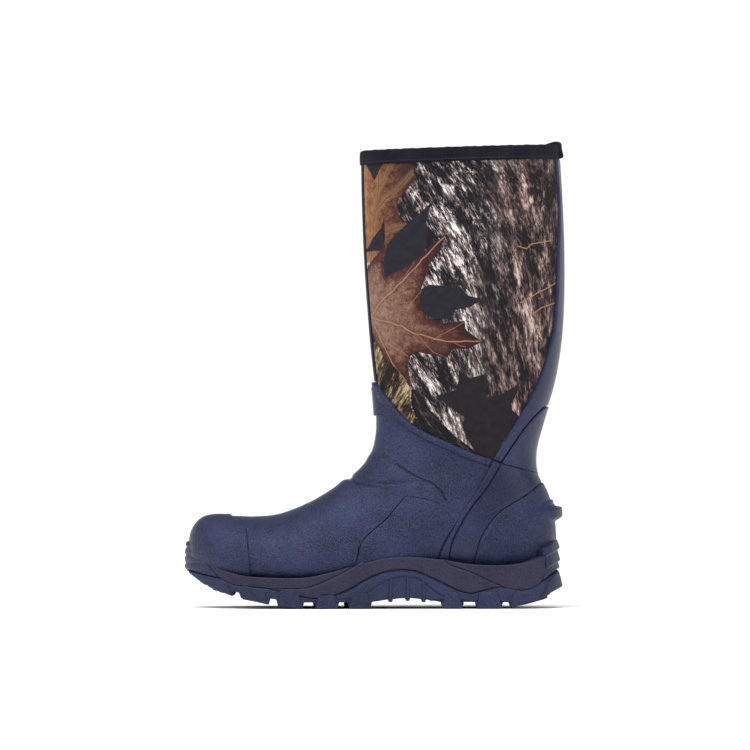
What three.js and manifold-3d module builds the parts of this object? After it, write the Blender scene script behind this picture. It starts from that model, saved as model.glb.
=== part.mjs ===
// Insulated hunting boot, left foot, in millimetres.
// +Z is up, the toe points to -X and the outer (lateral) side faces -Y.
// The origin is the centre of the boot's box, on the plane that the tread stands on.
//
// Every layer of the upper follows one surface, the outside of the neoprene. Its rings run from
// the toe to the collar, each hung between a point of the front profile and one of the back
// profile, so a layer is the space between two offsets of that surface. Panels are cut out of a
// layer by outlines drawn in side view.

import * as THREE from "three";
import { mergeVertices } from "three/addons/utils/BufferGeometryUtils.js";
import Module from "manifold-3d";

const wasm = await Module();
wasm.setup();

// ---------------------------------------------------------------- driving dimensions

const GAP = 0.3; // clearance between touching pieces
const NEOPRENE = 4.0;
const RUBBER_SHELL = 2.0;
const OVERLAY = 1.3; // rubber panels laid on the shell
const SPINE_THICK = 1.6;
const SHIN_STRIP_THICK = 0.9;
const INSULATION = 2.5;
const STIFFENER = 1.0;
const LINING = 1.5;
const BINDING = 1.3;
const BINDING_DEPTH = 9.5; // how far the tape reaches down the wall
const TAB_THICK = 1.4; // of the seam where the tape's ends overlap
const TAB_HALF_WIDTH = 6;
const BOARD = 2.2;
const FOOTBED_FOAM = 5.0;
const FOOTBED_COVER = 1.0;
const FOOTBED_CLEARANCE = 2.6; // between the footbed's edge and the lining
const SHANK_HALF_WIDTH = 11;
const SHANK_THICK = 2;
const BAND_WIDTH = 6; // of the band along the foot's top edge
const SHIN_STRIP_HALF_WIDTH = 9;
const PATCH_HALF_WIDTH = 15; // of the patch over the front of the ankle
const PATCH_HEIGHTS = [161.2, 187];
const PATCH_PROUD = 0.7;
const KICK_LUG_CENTRE = 128;
const KICK_LUG_RADIUS = 30.7;
const LUG_INNER_EDGE = 21; // of the side lugs, from the tread's middle line
const LUG_SLANT = 5;
const RIB_HALF_WIDTH = 1.6;
const RIB_HEIGHT = 2.4;
const LUG_ROOT = 0.5; // how far lugs and ribs run up into the sole
const FAR = 400; // past the boot on any side
const SOLE_EDGE = 80; // past the sole on either side
const SOLE_LOW = -5; // below the tread, and above the highest sole piece
const SOLE_HIGH = 70;

// Offsets from the neoprene's outer face: positive is inwards.
const SHELL_IN = -GAP;
const SHELL_OUT = SHELL_IN - RUBBER_SHELL;
const OVERLAY_IN = SHELL_OUT - GAP;
const OVERLAY_OUT = OVERLAY_IN - OVERLAY;
const INSULATION_OUT = NEOPRENE + GAP;
const INSULATION_IN = INSULATION_OUT + INSULATION;
const LINING_FOOT = INSULATION_IN + GAP; // outer face of the lining in the foot
const LINING_SHAFT = NEOPRENE + GAP; // and in the shaft, where there is no insulation
const CAVITY_FOOT = LINING_FOOT + LINING;
const CAVITY_SHAFT = LINING_SHAFT + LINING;

// ---------------------------------------------------------------- the boot's surface

// One row per ring: front profile x, z; back profile x, z; half width; centre y; squareness of
// the back or bottom half of the ring.
const RINGS = [
  [-153, 49, -153, 49, 0, 9, 2.4],
  [-151.3, 62.3, -150.5, 38, 17, 9, 2.4],
  [-145.2, 71.4, -144, 31, 27, 8.5, 2.6],
  [-136, 74.8, -133, 27, 36.5, 7.5, 2.9],
  [-120, 75.0, -117, 24, 43.5, 5.5, 3.1],
  [-100, 74.5, -97, 21.5, 48.5, 3, 3.2],
  [-79.3, 76.8, -74, 20.3, 50.5, 1, 3.2],
  [-53.9, 86.7, -48, 20.5, 49.5, -1.5, 3.2],
  [-30.7, 100.6, -16, 23.5, 46, -2.5, 3.1],
  [-11, 115.3, 24, 28.5, 42.5, -2, 3.0],
  [-0.6, 130.3, 64, 30.5, 40.5, -1, 2.9],
  [2.9, 144, 104, 29, 39, 0, 2.8],
  [3.6, 155, 134, 32.5, 38, 0, 2.6],
  [3.4, 164, 147, 47, 37, 0, 2.4],
  [2.8, 173, 147.8, 70, 36.5, 0, 2.3],
  [1.8, 183, 142.6, 93, 37.5, 0, 2.2],
  [0.4, 195, 134, 112, 39, 0, 2.15],
  [-1.2, 209, 133, 132, 41, 0, 2.1],
  [-2.9, 226, 139.5, 158, 43.5, 0, 2.1],
  [-4.6, 247, 149.3, 190, 46.5, 0, 2.1],
  [-6.5, 273, 155.3, 228, 49.5, 0, 2.1],
  [-8.3, 305, 157.3, 272, 52, 0, 2.1],
  [-9.6, 342, 156.4, 326, 53.5, 0, 2.1],
  [-10.4, 382.2, 152.9, 387.2, 54, 0, 2.1],
];
const RING_SIDES = 20;
const TOE_HALF_WIDTH = 40; // rings narrower than this shrink in proportion when offset
const FRONT_SQUARENESS = 2.15;
const FRONT_NARROWING = 0.12; // each ring is narrower towards the shin and instep
const ANKLE_RING = 16; // the insulation ends below this ring
const LINING_TAPER = 4; // rings over which the lining moves out to the shaft's wall
const COLLAR_RING = RINGS.length - 1;
const CUTTER_RISE = 30; // how far inner cutters run on past the collar

// The unit normal of the front (column 0) or back (column 2) profile at ring i, into the boot.
function inwardNormal(i, column) {
  const before = RINGS[Math.max(i - 1, 0)];
  const after = RINGS[Math.min(i + 1, COLLAR_RING)];
  const [dx, dz] = [after[column] - before[column], after[column + 1] - before[column + 1]];
  const turn = (column === 0 ? 1 : -1) / Math.hypot(dx, dz);
  return [turn * dz, -turn * dx];
}

// The ends, half width and shape of ring i, moved inwards by offset.
function offsetRing(i, offset) {
  const [frontX, frontZ, backX, backZ, width, centre, square] = RINGS[i];
  const front = inwardNormal(i, 0);
  const back = inwardNormal(i, 2);
  return {
    front: [frontX + front[0] * offset, frontZ + front[1] * offset],
    back: [backX + back[0] * offset, backZ + back[1] * offset],
    width: width * (1 - offset / Math.max(width, TOE_HALF_WIDTH)),
    centre,
    square,
  };
}

// The point of a ring at an angle from its front end: a superellipse, squarer at the back.
function ringPoint(ring, angle) {
  const [c, s] = [Math.cos(angle), Math.sin(angle)];
  const power = 2 / (c > 0 ? FRONT_SQUARENESS : ring.square);
  const along = Math.sign(c) * Math.abs(c) ** power;
  const across = Math.sign(s) * Math.abs(s) ** power;
  const [x, z] = [0, 1].map((k) => ring.front[k] * (0.5 + along / 2) + ring.back[k] * (0.5 - along / 2));
  return [x, ring.centre + ring.width * across * (1 - FRONT_NARROWING * along), z];
}

// The closed solid inside the surface at an offset, which may be a function of the ring. Its top
// is carried straight on above the collar by rise.
function envelope(offset, rise = 0) {
  const offsetAt = typeof offset === "function" ? offset : () => offset;
  const points = [];
  for (let i = 1; i <= COLLAR_RING; i++) {
    const ring = offsetRing(i, offsetAt(i));
    for (let j = 0; j < RING_SIDES; j++) points.push(ringPoint(ring, (2 * Math.PI * j) / RING_SIDES));
  }
  if (rise) points.push(...points.slice(-RING_SIDES).map(([x, y, z]) => [x, y, z + rise]));
  const tip = offsetRing(0, offsetAt(0));
  const toe = points.length;
  points.push([(tip.front[0] + tip.back[0]) / 2, tip.centre, (tip.front[1] + tip.back[1]) / 2]);

  const top = toe - RING_SIDES;
  const faces = [];
  for (let j = 0; j < RING_SIDES; j++) {
    const next = (j + 1) % RING_SIDES;
    faces.push([toe, next, j]);
    for (let row = 0; row < top; row += RING_SIDES) {
      const above = row + RING_SIDES;
      faces.push([row + j, row + next, above + next], [row + j, above + next, above + j]);
    }
    if (j > 0 && j < RING_SIDES - 1) faces.push([top, top + j, top + j + 1]);
  }
  return solid(points.flat(), faces.flat());
}

// ---------------------------------------------------------------- solids

// A solid from a triangle mesh wound either way.
function solid(coordinates, indices) {
  const vertProperties = new Float32Array(coordinates);
  const triVerts = new Uint32Array(indices);
  const made = new wasm.Manifold(new wasm.Mesh({ numProp: 3, vertProperties, triVerts }));
  if (made.volume() > 0) return made;
  for (let i = 0; i < triVerts.length; i += 3) triVerts.subarray(i, i + 3).reverse();
  return new wasm.Manifold(new wasm.Mesh({ numProp: 3, vertProperties, triVerts }));
}

function fromGeometry(geometry) {
  geometry.deleteAttribute("normal");
  geometry.deleteAttribute("uv");
  const merged = mergeVertices(geometry, 1e-4);
  return solid(merged.attributes.position.array, merged.index.array);
}

// An outline without repeated points or points in the middle of a straight run.
function cleanOutline(outline) {
  const distinct = outline.filter(([a, b], i) => {
    const [c, d] = outline[(i + 1) % outline.length];
    return Math.hypot(c - a, d - b) > 1e-3;
  });
  return distinct.filter(([a, b], i) => {
    const [c, d] = distinct[(i + 1) % distinct.length];
    const [e, f] = distinct[(i + distinct.length - 1) % distinct.length];
    return Math.abs((c - a) * (f - b) - (d - b) * (e - a)) > 1e-3;
  });
}

function prism(outline, depth) {
  const shape = new THREE.Shape(cleanOutline(outline).map(([a, b]) => new THREE.Vector2(a, b)));
  return new THREE.ExtrudeGeometry(shape, { depth, bevelEnabled: false });
}

// A side-view outline of [x, z] points, run from y = low to y = high.
function sidePrism(outline, low = -FAR, high = FAR) {
  return fromGeometry(prism(outline, high - low).rotateX(Math.PI / 2).translate(0, high, 0));
}

// A plan outline of [x, y] points, run from z = low to z = high.
function planPrism(outline, low = SOLE_LOW, high = SOLE_HIGH) {
  return fromGeometry(prism(outline, high - low).translate(0, 0, low));
}

const rectangle = (x0, z0, x1, z1) => [[x0, z0], [x1, z0], [x1, z1], [x0, z1]];

// A smooth open curve through points, with steps pieces between each two.
function smooth(points, steps = 2) {
  const curve = new THREE.SplineCurve(points.map(([a, b]) => new THREE.Vector2(a, b)));
  return curve.getPoints(steps * (points.length - 1)).map((p) => [p.x, p.y]);
}

const reversed = (points) => [...points].reverse();
const shifted = (points, dx, dz) => points.map(([x, z]) => [x + dx, z + dz]);

// The outline between a lower and an upper side-view curve.
const between = (lower, upper) => [...lower, ...reversed(upper)];

// A cut of width GAP along a side-view curve, through the whole boot.
function seam(points) {
  const edge = (side) =>
    points.map(([x, z], i) => {
      const [a, b] = points[Math.max(i - 1, 0)];
      const [c, d] = points[Math.min(i + 1, points.length - 1)];
      const reach = (side * GAP) / (2 * Math.hypot(c - a, d - b));
      return [x - reach * (d - b), z + reach * (c - a)];
    });
  return sidePrism(between(edge(1), edge(-1)));
}

const without = (shape, cuts) => cuts.reduce((left, cut) => left.subtract(cut), shape);
const layer = (outer, inner) => envelope(outer).subtract(envelope(inner, CUTTER_RISE));
const lateral = () => sidePrism(rectangle(-FAR, -FAR, FAR, FAR), -FAR, -GAP / 2);
const medial = () => sidePrism(rectangle(-FAR, -FAR, FAR, FAR), GAP / 2, FAR);

// ---------------------------------------------------------------- side-view curves, [x, z]

// Where the rubber foot meets the printed neoprene, from the shin to the bottom of the V.
const SHIN_EDGE_HEIGHT = 192.8;
const VAMP_EDGE = smooth([
  [-1.3, SHIN_EDGE_HEIGHT], [13, 175], [25.9, 159.5], [42.6, 147.9], [79.8, 131.2], [98.5, 124.4],
]);
const BAND_LOWER = shifted(VAMP_EDGE, -BAND_WIDTH * 0.45, -BAND_WIDTH * 0.89);
// The front edge of the back spine, from the collar to the bottom of the V.
const SPINE_EDGE = [
  [151.5, 378.5], [153.7, 340], [153.2, 299], [150.6, 242], [146.7, 222.5],
  [140.3, 200.7], [131.3, 180.2], [109.5, 141.5], [98.5, 124.4],
];
// The back edge of the spine's two legs, around the tendon panel.
const LEG_EDGE = [[FAR, 169.6], [147.8, 169.6], [137.8, 167.4], [123.7, 149.9], [105.4, 121.4]];
// The strap that runs on from the spine's legs down to the midsole.
const STRAP_FRONT = [[98.5, 124.4], [87.4, 102.1], [73.9, 81.9], [60.5, 59.3], [53.2, 42.4], [47, 10]];
const STRAP_BACK = [[105.4, 121.4], [94.1, 96.4], [80.6, 77.4], [70.6, 61.7], [63.3, 42.4], [58, 10]];
const COUNTER_TOP = [[105.4, 121.4], [122.6, 115.9], [132.6, 112.5], [137.5, 105.4], [FAR, 84]];
const COUNTER_FRONT = [
  [137.5, 105.4], [124.7, 98.7], [104, 85.3], [94, 69.3], [87.4, 59.2], [84, 41.6], [82, 10],
];
const TOE_CAP_EDGE = [
  [-124, 100], [-122.6, 78.3], [-109.2, 67.4], [-105, 55.9], [-104.2, 36.5], [-102.5, 10],
];
const SIDE_PANEL = [
  [-14, 10], [-14.1, 43.7], [-11.8, 52], [-1.2, 68.5], [26.7, 92.6], [37.8, 92], [52.6, 89.1],
  [75, 84],
];
const KICK_LUG = [
  [120, 77], [137, 80.5], [158.7, 85.5], [158.7, 76.9], [152.9, 69.6], [138, 66.5], [120, 70],
];
const SEAM_TAB = [
  [137, 376.8], [137, 389.4], [143, 390.6], [147, 391.8], [151.5, 391.8], [155.5, 389.8],
  [FAR, 389.8], [FAR, 376.8],
];
// The insulation stops in a slanted line from the instep to the back of the ankle.
const INSULATED = [[-FAR, -FAR], [FAR, -FAR], [FAR, 98], [147, 88], [2, 140], [-FAR, 150]];
const TOE_PUFF = [[-FAR, -FAR], [-112, -FAR], [-104, 30], [-112, 90], [-FAR, 90]];
const HEEL_STIFFENER = [[96, -FAR], [FAR, -FAR], [FAR, 86], [140, 80], [112, 66], [96, 44]];

// Sole lines, from the toe to the heel.
const MIDSOLE_TOP = [
  [-145.3, 47.5], [-140, 39.7], [-129.8, 35.2], [-102.7, 27.6], [-63, 26.2], [-36.5, 31.1],
  [-1.7, 40.7], [26, 44.7], [46.5, 43], [89.4, 37], [119.3, 37.8], [141.7, 44.7],
];
const MIDSOLE_NOSE = [[-145.3, 47.5], [-136.9, 33.3], [-125.2, 23.1]];
const MIDSOLE_UNDERSIDE = [
  [-125.2, 23.1], [-105.8, 19.7], [-80.2, 16], [-49.1, 9.8], [-28.2, 14], [1.7, 29.7], [22.7, 33.5],
  [38, 30.7], [63.7, 18.9], [80.8, 13.9], [100.5, 18.6], [123.6, 16], [139.1, 22],
];
const MIDSOLE_BACK = [[139.1, 22], [141.7, 28.6], [142.5, 38], [141.7, 44.7]];
const MIDSOLE_BOTTOM = [...MIDSOLE_NOSE, ...MIDSOLE_UNDERSIDE.slice(1), ...MIDSOLE_BACK.slice(1)];
// The saddle's two edges inside the midsole.
const SADDLE_FRONT = [
  [-92, 18.4], [-71.4, 17.5], [-50.5, 20.6], [-29.6, 29.7], [-18, 36.8], [-12, 41],
];
const SADDLE_BACK = [[58, 42], [76.4, 32.7], [89.4, 26.7], [106, 19.2], [112, 16.5]];
// The tread stands on the line of the lugs' feet, and its floor lies above them.
const LUG_FEET = [
  [-142.8, 19.7], [-119.3, 10.5], [-87.4, 3.2], [-66, 0], [112, 0], [125, 3], [141, 8], [150, 13],
];
const FORE_FLOOR = [[-142.8, 19.7], [-119.3, 14.5], [-87.4, 8.7], [-66, 5.5]];
const ARCH_FLOOR = [[-4, 5.5], [12, 8.6], [26, 9.7], [40, 8.6], [55, 5.9]];
const HEEL_FLOOR = [[112, 5.5], [125, 8], [141, 12], [150, 13]];
const TREAD_FLOOR = [...FORE_FLOOR, ...ARCH_FLOOR, ...HEEL_FLOOR];
const ARCH = [-3, 54];
// The sole's two ends, and the lines where the toe and heel bumpers stand on the outsole.
const TOE_END = [[-156.5, 31], [-154.6, 28.5]];
const HEEL_END = [[156.8, 18.2], [155.4, 26], [153.4, 32]];
const TOE_BUMPER_FOOT = [[-FAR, 31], [-156.5, 31], [-140, 27.5], [-125.2, 23.1]];
const HEEL_BUMPER_FOOT = [[139.1, 22], [153.4, 32], [FAR, 32]];
const TOE_BUMPER_TOP = [[-175, 60.5], [-158, 57.7], [-153, 53.4], [-145.3, 47.5]];
const HEEL_BUMPER_TOP = [[141.7, 44.7], [141, 50.9], [146, 54.4], [153.5, 58.6], [FAR, 58.6]];
const TOE_BUMPER = [...TOE_BUMPER_TOP, ...MIDSOLE_NOSE.slice(1), ...reversed(TOE_BUMPER_FOOT).slice(1)];
const HEEL_BUMPER = [
  ...MIDSOLE_BACK, ...HEEL_BUMPER_TOP.slice(1), ...reversed(HEEL_BUMPER_FOOT).slice(0, -1),
];

// The boot's floor, height above the underside of the neoprene.
const floorLine = (height) => [
  [-170, 42 + height],
  ...RINGS.slice(3, 12).map(([, , x, z]) => [x, z + height]),
  [160, 33 + height],
];

// ---------------------------------------------------------------- plan outlines, [x, y]

const FOOTPRINT = [
  [-158.5, 9], [-152, 30], [-134, 46], [-106, 54], [-80, 55.5], [-50, 50.5], [-15, 43], [25, 40],
  [65, 41], [105, 43.5], [135, 38.5], [151, 24], [157.5, 0], [151, -24], [135, -38.5], [105, -44],
  [65, -45], [25, -46.5], [-15, -50.5], [-50, -54.5], [-80, -53.5], [-106, -47], [-134, -32],
  [-152, -12],
];
// Side lugs between these x, the same on both edges of the tread.
const SIDE_LUGS = [
  [-113, -88], [-82, -59], [-50.4, -29.4], [-20.2, -3.4], [54.6, 76], [84, 107.5], [112.6, 148],
];
const CENTRE_LUGS = [-122, -97, -71, -43, -17, 66, 95, 122];
const CHEVRON = [[-9, -16], [-2, -16], [6, 0], [-2, 16], [-9, 16], [-3, 0]];
const ARCH_RIBS = [13.4, 26.9, 42];

// ---------------------------------------------------------------- materials

const material = (color, roughness, metalness = 0) =>
  new THREE.MeshStandardMaterial({ color, roughness, metalness });
const navyRubber = material(0x3a3d55, 0.5);
const soleRubber = material(0x33374a, 0.62);
const midsoleFoam = material(0x453c48, 0.7);
const printedNeoprene = material(0x6e5c50, 0.85);
const blackNeoprene = material(0x1d1d22, 0.9);
const knitTape = material(0x22222e, 0.85);
const fleece = material(0x4b4a4c, 0.95);
const felt = material(0xd8d6cf, 0.95);
const stiffSheet = material(0x9c8466, 0.9);
const springSteel = material(0x9a9da2, 0.35, 1);
const footbedFoam = material(0x2d3440, 0.85);
const footbedKnit = material(0x5b5f66, 0.95);

const boot = new THREE.Group();

// Adds the largest body of a shape, without the offcuts that a cut may leave.
function addPart(name, shape, finish) {
  const [main] = shape.decompose().sort((a, b) => b.volume() - a.volume());
  const { numVert, numProp, vertProperties, triVerts } = main.getMesh();
  const vertices = new Float32Array(numVert * 3);
  for (let i = 0; i < numVert; i++) {
    vertices.set(vertProperties.subarray(i * numProp, i * numProp + 3), i * 3);
  }
  const geometry = new THREE.BufferGeometry();
  geometry.setAttribute("position", new THREE.BufferAttribute(vertices, 3));
  geometry.setIndex(new THREE.BufferAttribute(triVerts, 1));
  geometry.computeVertexNormals();
  const part = new THREE.Mesh(geometry, finish);
  part.name = name;
  boot.add(part);
}

// Adds the same panel on both sides of the boot.
function addSides(name, shape, finish) {
  addPart(`lateral_${name}`, shape.intersect(lateral()), finish);
  addPart(`medial_${name}`, shape.intersect(medial()), finish);
}

// ---------------------------------------------------------------- rubber foot

// Everything under the V and the tendon panel's top edge.
const RUBBER_FOOT = [
  [-FAR, -FAR], [FAR, -FAR], ...LEG_EDGE, ...reversed(VAMP_EDGE), [-FAR, SHIN_EDGE_HEIGHT],
];
const OVER_MIDSOLE = [
  [-FAR, FAR], [-FAR, 60], ...shifted(MIDSOLE_TOP, 0, GAP), [FAR, 60], [FAR, FAR],
];

function buildOverlays() {
  const seams = [STRAP_FRONT, STRAP_BACK, COUNTER_TOP, COUNTER_FRONT].map(seam);
  const overlay = without(layer(OVERLAY_OUT, OVERLAY_IN), seams)
    .intersect(sidePrism(RUBBER_FOOT))
    .intersect(sidePrism(OVER_MIDSOLE));
  const panel = (...outline) => overlay.intersect(sidePrism(outline));

  const overBumper = shifted(TOE_BUMPER_TOP, 0, GAP);
  const toeCap = panel(...overBumper, [-145, 10], ...reversed(TOE_CAP_EDGE), [-FAR, 100]);
  addPart("toe_cap", toeCap, navyRubber);

  addSides("side_panel", panel(...SIDE_PANEL, ...STRAP_FRONT.slice(2)), navyRubber);
  addSides("heel_strap", panel(...between(STRAP_FRONT, STRAP_BACK)), navyRubber);
  const quarter = panel(...COUNTER_TOP.slice(0, -1), ...COUNTER_FRONT, ...reversed(STRAP_BACK));
  addSides("heel_quarter", quarter, navyRubber);
  addPart("tendon_panel", panel(...LEG_EDGE, ...COUNTER_TOP.slice(1)), navyRubber);

  const counter = panel(...COUNTER_FRONT, [FAR, 10], [FAR, 84]);
  const overHeelBumper = sidePrism(shifted(HEEL_BUMPER, -GAP, GAP));
  addPart("heel_counter", counter.subtract(overHeelBumper), navyRubber);

  const edgeBand = [...VAMP_EDGE, STRAP_FRONT[1], ...reversed(BAND_LOWER)];
  const band = panel([-FAR, SHIN_EDGE_HEIGHT], ...edgeBand, [-FAR, SHIN_EDGE_HEIGHT - BAND_WIDTH * 2]);
  addPart("vamp_edge_band", band, navyRubber);
}

// The patch over the front of the ankle, cut off under the edge band.
function buildPatch() {
  const [low, high] = PATCH_HEIGHTS;
  const overBand = [...BAND_LOWER, [120, 60], [120, FAR], [-20, FAR]];
  const patch = layer(OVERLAY_OUT - PATCH_PROUD, OVERLAY_IN)
    .intersect(sidePrism(rectangle(-60, low, 40, high), -PATCH_HALF_WIDTH, PATCH_HALF_WIDTH))
    .subtract(sidePrism(shifted(overBand, -GAP, -GAP)));
  addPart("front_ankle_patch", patch, navyRubber);
}

// A ledge round the back of the heel, deepest at the middle, to pull the boot off against.
function buildKickLug() {
  const round = new THREE.Shape().absarc(KICK_LUG_CENTRE, 0, KICK_LUG_RADIUS, 0, 2 * Math.PI);
  const options = { depth: SOLE_HIGH, bevelEnabled: false, curveSegments: 24 };
  const disc = fromGeometry(new THREE.ExtrudeGeometry(round, options).translate(0, 0, 40));
  const lug = disc.intersect(sidePrism(KICK_LUG)).subtract(envelope(OVERLAY_OUT - GAP));
  addPart("kick_lug", lug, navyRubber);
}

function buildRubberFoot() {
  const shell = layer(SHELL_OUT, SHELL_IN).intersect(sidePrism(RUBBER_FOOT));
  addPart("foot_shell", shell, navyRubber);
  buildOverlays();
  buildPatch();
  buildKickLug();
}

// ---------------------------------------------------------------- neoprene shaft

const [collarFrontX, collarFrontZ, collarBackX, collarBackZ] = RINGS[COLLAR_RING];
const collarSlope = (collarBackZ - collarFrontZ) / (collarBackX - collarFrontX);
const collarHeight = (x, drop) => collarFrontZ + collarSlope * (x - collarFrontX) - drop;
// The two ends of a line that runs drop below the collar's rim.
const collarLine = (drop) => [[FAR, collarHeight(FAR, drop)], [-FAR, collarHeight(-FAR, drop)]];

function buildShaft() {
  const footEdge = [[-FAR, SHIN_EDGE_HEIGHT], ...VAMP_EDGE, ...reversed(LEG_EDGE)];
  const wall = layer(0, NEOPRENE).subtract(seam(footEdge));
  const foot = sidePrism(RUBBER_FOOT);
  addSides("shaft_panel", wall.subtract(foot), printedNeoprene);
  addPart("neoprene_bootie", wall.intersect(foot), blackNeoprene);

  const belowBinding = sidePrism([[-FAR, -FAR], [FAR, -FAR], ...collarLine(BINDING_DEPTH + GAP)]);
  const behind = sidePrism([[FAR, 420], [152, 420], ...SPINE_EDGE, ...reversed(LEG_EDGE)]);
  const spine = layer(-GAP - SPINE_THICK, -GAP)
    .intersect(behind)
    .intersect(belowBinding)
    .subtract(seam([...SPINE_EDGE.slice(-1), ...reversed(LEG_EDGE)]));
  addPart("back_spine", spine, navyRubber);

  const shin = rectangle(-60, SHIN_EDGE_HEIGHT + 2 * GAP, 40, FAR);
  const strip = layer(-GAP - SHIN_STRIP_THICK, -GAP)
    .intersect(sidePrism(shin, -SHIN_STRIP_HALF_WIDTH, SHIN_STRIP_HALF_WIDTH))
    .intersect(belowBinding);
  addPart("front_shin_strip", strip, navyRubber);
}

// The knit tape folded over the top of the wall, and the tab where its two ends overlap.
function buildBinding() {
  const aboveLine = sidePrism([[-FAR, FAR], ...reversed(collarLine(BINDING_DEPTH)), [FAR, FAR]]);
  const raised = (offset, lift) => envelope(offset).translate(0, 0, lift);
  const inside = (offset) => envelope(offset, CUTTER_RISE);
  const wall = envelope(-GAP).add(raised(-GAP, GAP)).subtract(inside(CAVITY_SHAFT + GAP));
  const tapeOut = GAP + BINDING;
  const tapeIn = CAVITY_SHAFT + GAP + BINDING;
  const tape = raised(-tapeOut, tapeOut).subtract(inside(tapeIn)).intersect(aboveLine).subtract(wall);
  addPart("collar_binding", tape, knitTape);

  const tapeRoom = raised(-tapeOut - GAP, tapeOut + GAP).subtract(inside(tapeIn + GAP));
  const tab = raised(-tapeOut - GAP - TAB_THICK, CUTTER_RISE)
    .subtract(inside(tapeIn + TAB_THICK))
    .intersect(sidePrism(SEAM_TAB, -TAB_HALF_WIDTH, TAB_HALF_WIDTH))
    .subtract(tapeRoom);
  addPart("binding_seam_tab", tab, knitTape);
}

// ---------------------------------------------------------------- inside the upper

// Offset of the lining's outer face, which moves out to the wall above the insulation.
function liningOffset(ring) {
  const t = THREE.MathUtils.smoothstep(ring, ANKLE_RING, ANKLE_RING + LINING_TAPER);
  return THREE.MathUtils.lerp(LINING_FOOT, LINING_SHAFT, t);
}

function buildInside() {
  const inner = envelope((ring) => liningOffset(ring) + LINING, CUTTER_RISE);
  addPart("fleece_lining", envelope(liningOffset).subtract(inner), fleece);

  const room = layer(INSULATION_OUT - GAP, INSULATION_OUT + STIFFENER + GAP);
  const insulation = layer(INSULATION_OUT, INSULATION_IN)
    .intersect(sidePrism(INSULATED))
    .subtract(room.intersect(sidePrism(shifted(TOE_PUFF, GAP, 0))))
    .subtract(room.intersect(sidePrism(shifted(HEEL_STIFFENER, -GAP, GAP))));
  addPart("foot_insulation", insulation, felt);

  const stiffener = layer(INSULATION_OUT, INSULATION_OUT + STIFFENER);
  addPart("toe_puff", stiffener.intersect(sidePrism(TOE_PUFF)), stiffSheet);
  addPart("heel_stiffener", stiffener.intersect(sidePrism(HEEL_STIFFENER)), stiffSheet);
}

// The board on the boot's floor, and the removable footbed on it.
function buildInsole() {
  const slab = (low, high, clearance) => {
    const outline = between(floorLine(CAVITY_FOOT + low), floorLine(CAVITY_FOOT + high));
    return envelope(CAVITY_FOOT + clearance).intersect(sidePrism(outline));
  };
  const foamBottom = BOARD + GAP;
  const foamTop = foamBottom + FOOTBED_FOAM;
  const coverBottom = foamTop + GAP;
  const coverTop = coverBottom + FOOTBED_COVER;
  addPart("insole_board", slab(-BOARD, BOARD, GAP), stiffSheet);
  addPart("footbed_foam", slab(foamBottom, foamTop, FOOTBED_CLEARANCE), footbedFoam);
  addPart("footbed_cover", slab(coverBottom, coverTop, FOOTBED_CLEARANCE), footbedKnit);
}

// ---------------------------------------------------------------- sole

function footprint() {
  const curve = new THREE.CatmullRomCurve3(
    FOOTPRINT.map(([x, y]) => new THREE.Vector3(x, y, 0)),
    true,
  );
  return planPrism(curve.getPoints(FOOTPRINT.length).slice(0, -1).map((p) => [p.x, p.y]));
}

// Columns that stand where the lugs are.
function lugColumns() {
  const sides = SIDE_LUGS.flatMap(([from, to]) =>
    [-1, 1].map((side) =>
      planPrism([
        [from, side * SOLE_EDGE],
        [to, side * SOLE_EDGE],
        [to - LUG_SLANT, side * LUG_INNER_EDGE],
        [from + LUG_SLANT, side * LUG_INNER_EDGE],
      ]),
    ),
  );
  const middles = CENTRE_LUGS.map((x) => planPrism(shifted(CHEVRON, x, 0)));
  return [...sides, ...middles].reduce((all, lug) => all.add(lug));
}

function ribColumns() {
  return ARCH_RIBS.map((x) =>
    planPrism(rectangle(x - RIB_HALF_WIDTH, -SOLE_EDGE, x + RIB_HALF_WIDTH, SOLE_EDGE)),
  ).reduce((all, rib) => all.add(rib));
}

// The sole's full thickness round the upper, with a pocket for the shank, which is built here.
function buildSoleBlock() {
  const upper = floorLine(SHELL_OUT - 2 * GAP).slice(5, -1);
  const lower = shifted(upper, 0, -SHANK_THICK);
  const shank = sidePrism(between(lower, upper), -SHANK_HALF_WIDTH, SHANK_HALF_WIDTH);
  addPart("shank", shank, springSteel);

  const [fromX, fromZ] = lower[0];
  const [toX, toZ] = lower[lower.length - 1];
  const pocket = [
    [fromX - GAP, SOLE_HIGH],
    [fromX - GAP, fromZ - GAP],
    ...shifted(lower.slice(1, -1), 0, -GAP),
    [toX + GAP, toZ - GAP],
    [toX + GAP, SOLE_HIGH],
  ];
  const room = sidePrism(pocket, -SHANK_HALF_WIDTH - GAP, SHANK_HALF_WIDTH + GAP);
  return without(footprint(), [envelope(SHELL_OUT - GAP), room]);
}

function buildMidsole(block) {
  const cuts = [MIDSOLE_BOTTOM, SADDLE_FRONT, SADDLE_BACK].map(seam);
  const midsole = without(block.intersect(sidePrism(between(MIDSOLE_BOTTOM, MIDSOLE_TOP))), cuts);
  const front = sidePrism([[-FAR, 60], [-FAR, 10], ...SADDLE_FRONT]);
  const heel = sidePrism([...SADDLE_BACK, [FAR, 5], [FAR, 60]]);
  addPart("midsole_front", midsole.intersect(front), midsoleFoam);
  addPart("midsole_heel", midsole.intersect(heel), midsoleFoam);
  addPart("midsole_saddle", without(midsole, [front, heel]), midsoleFoam);
}

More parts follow.
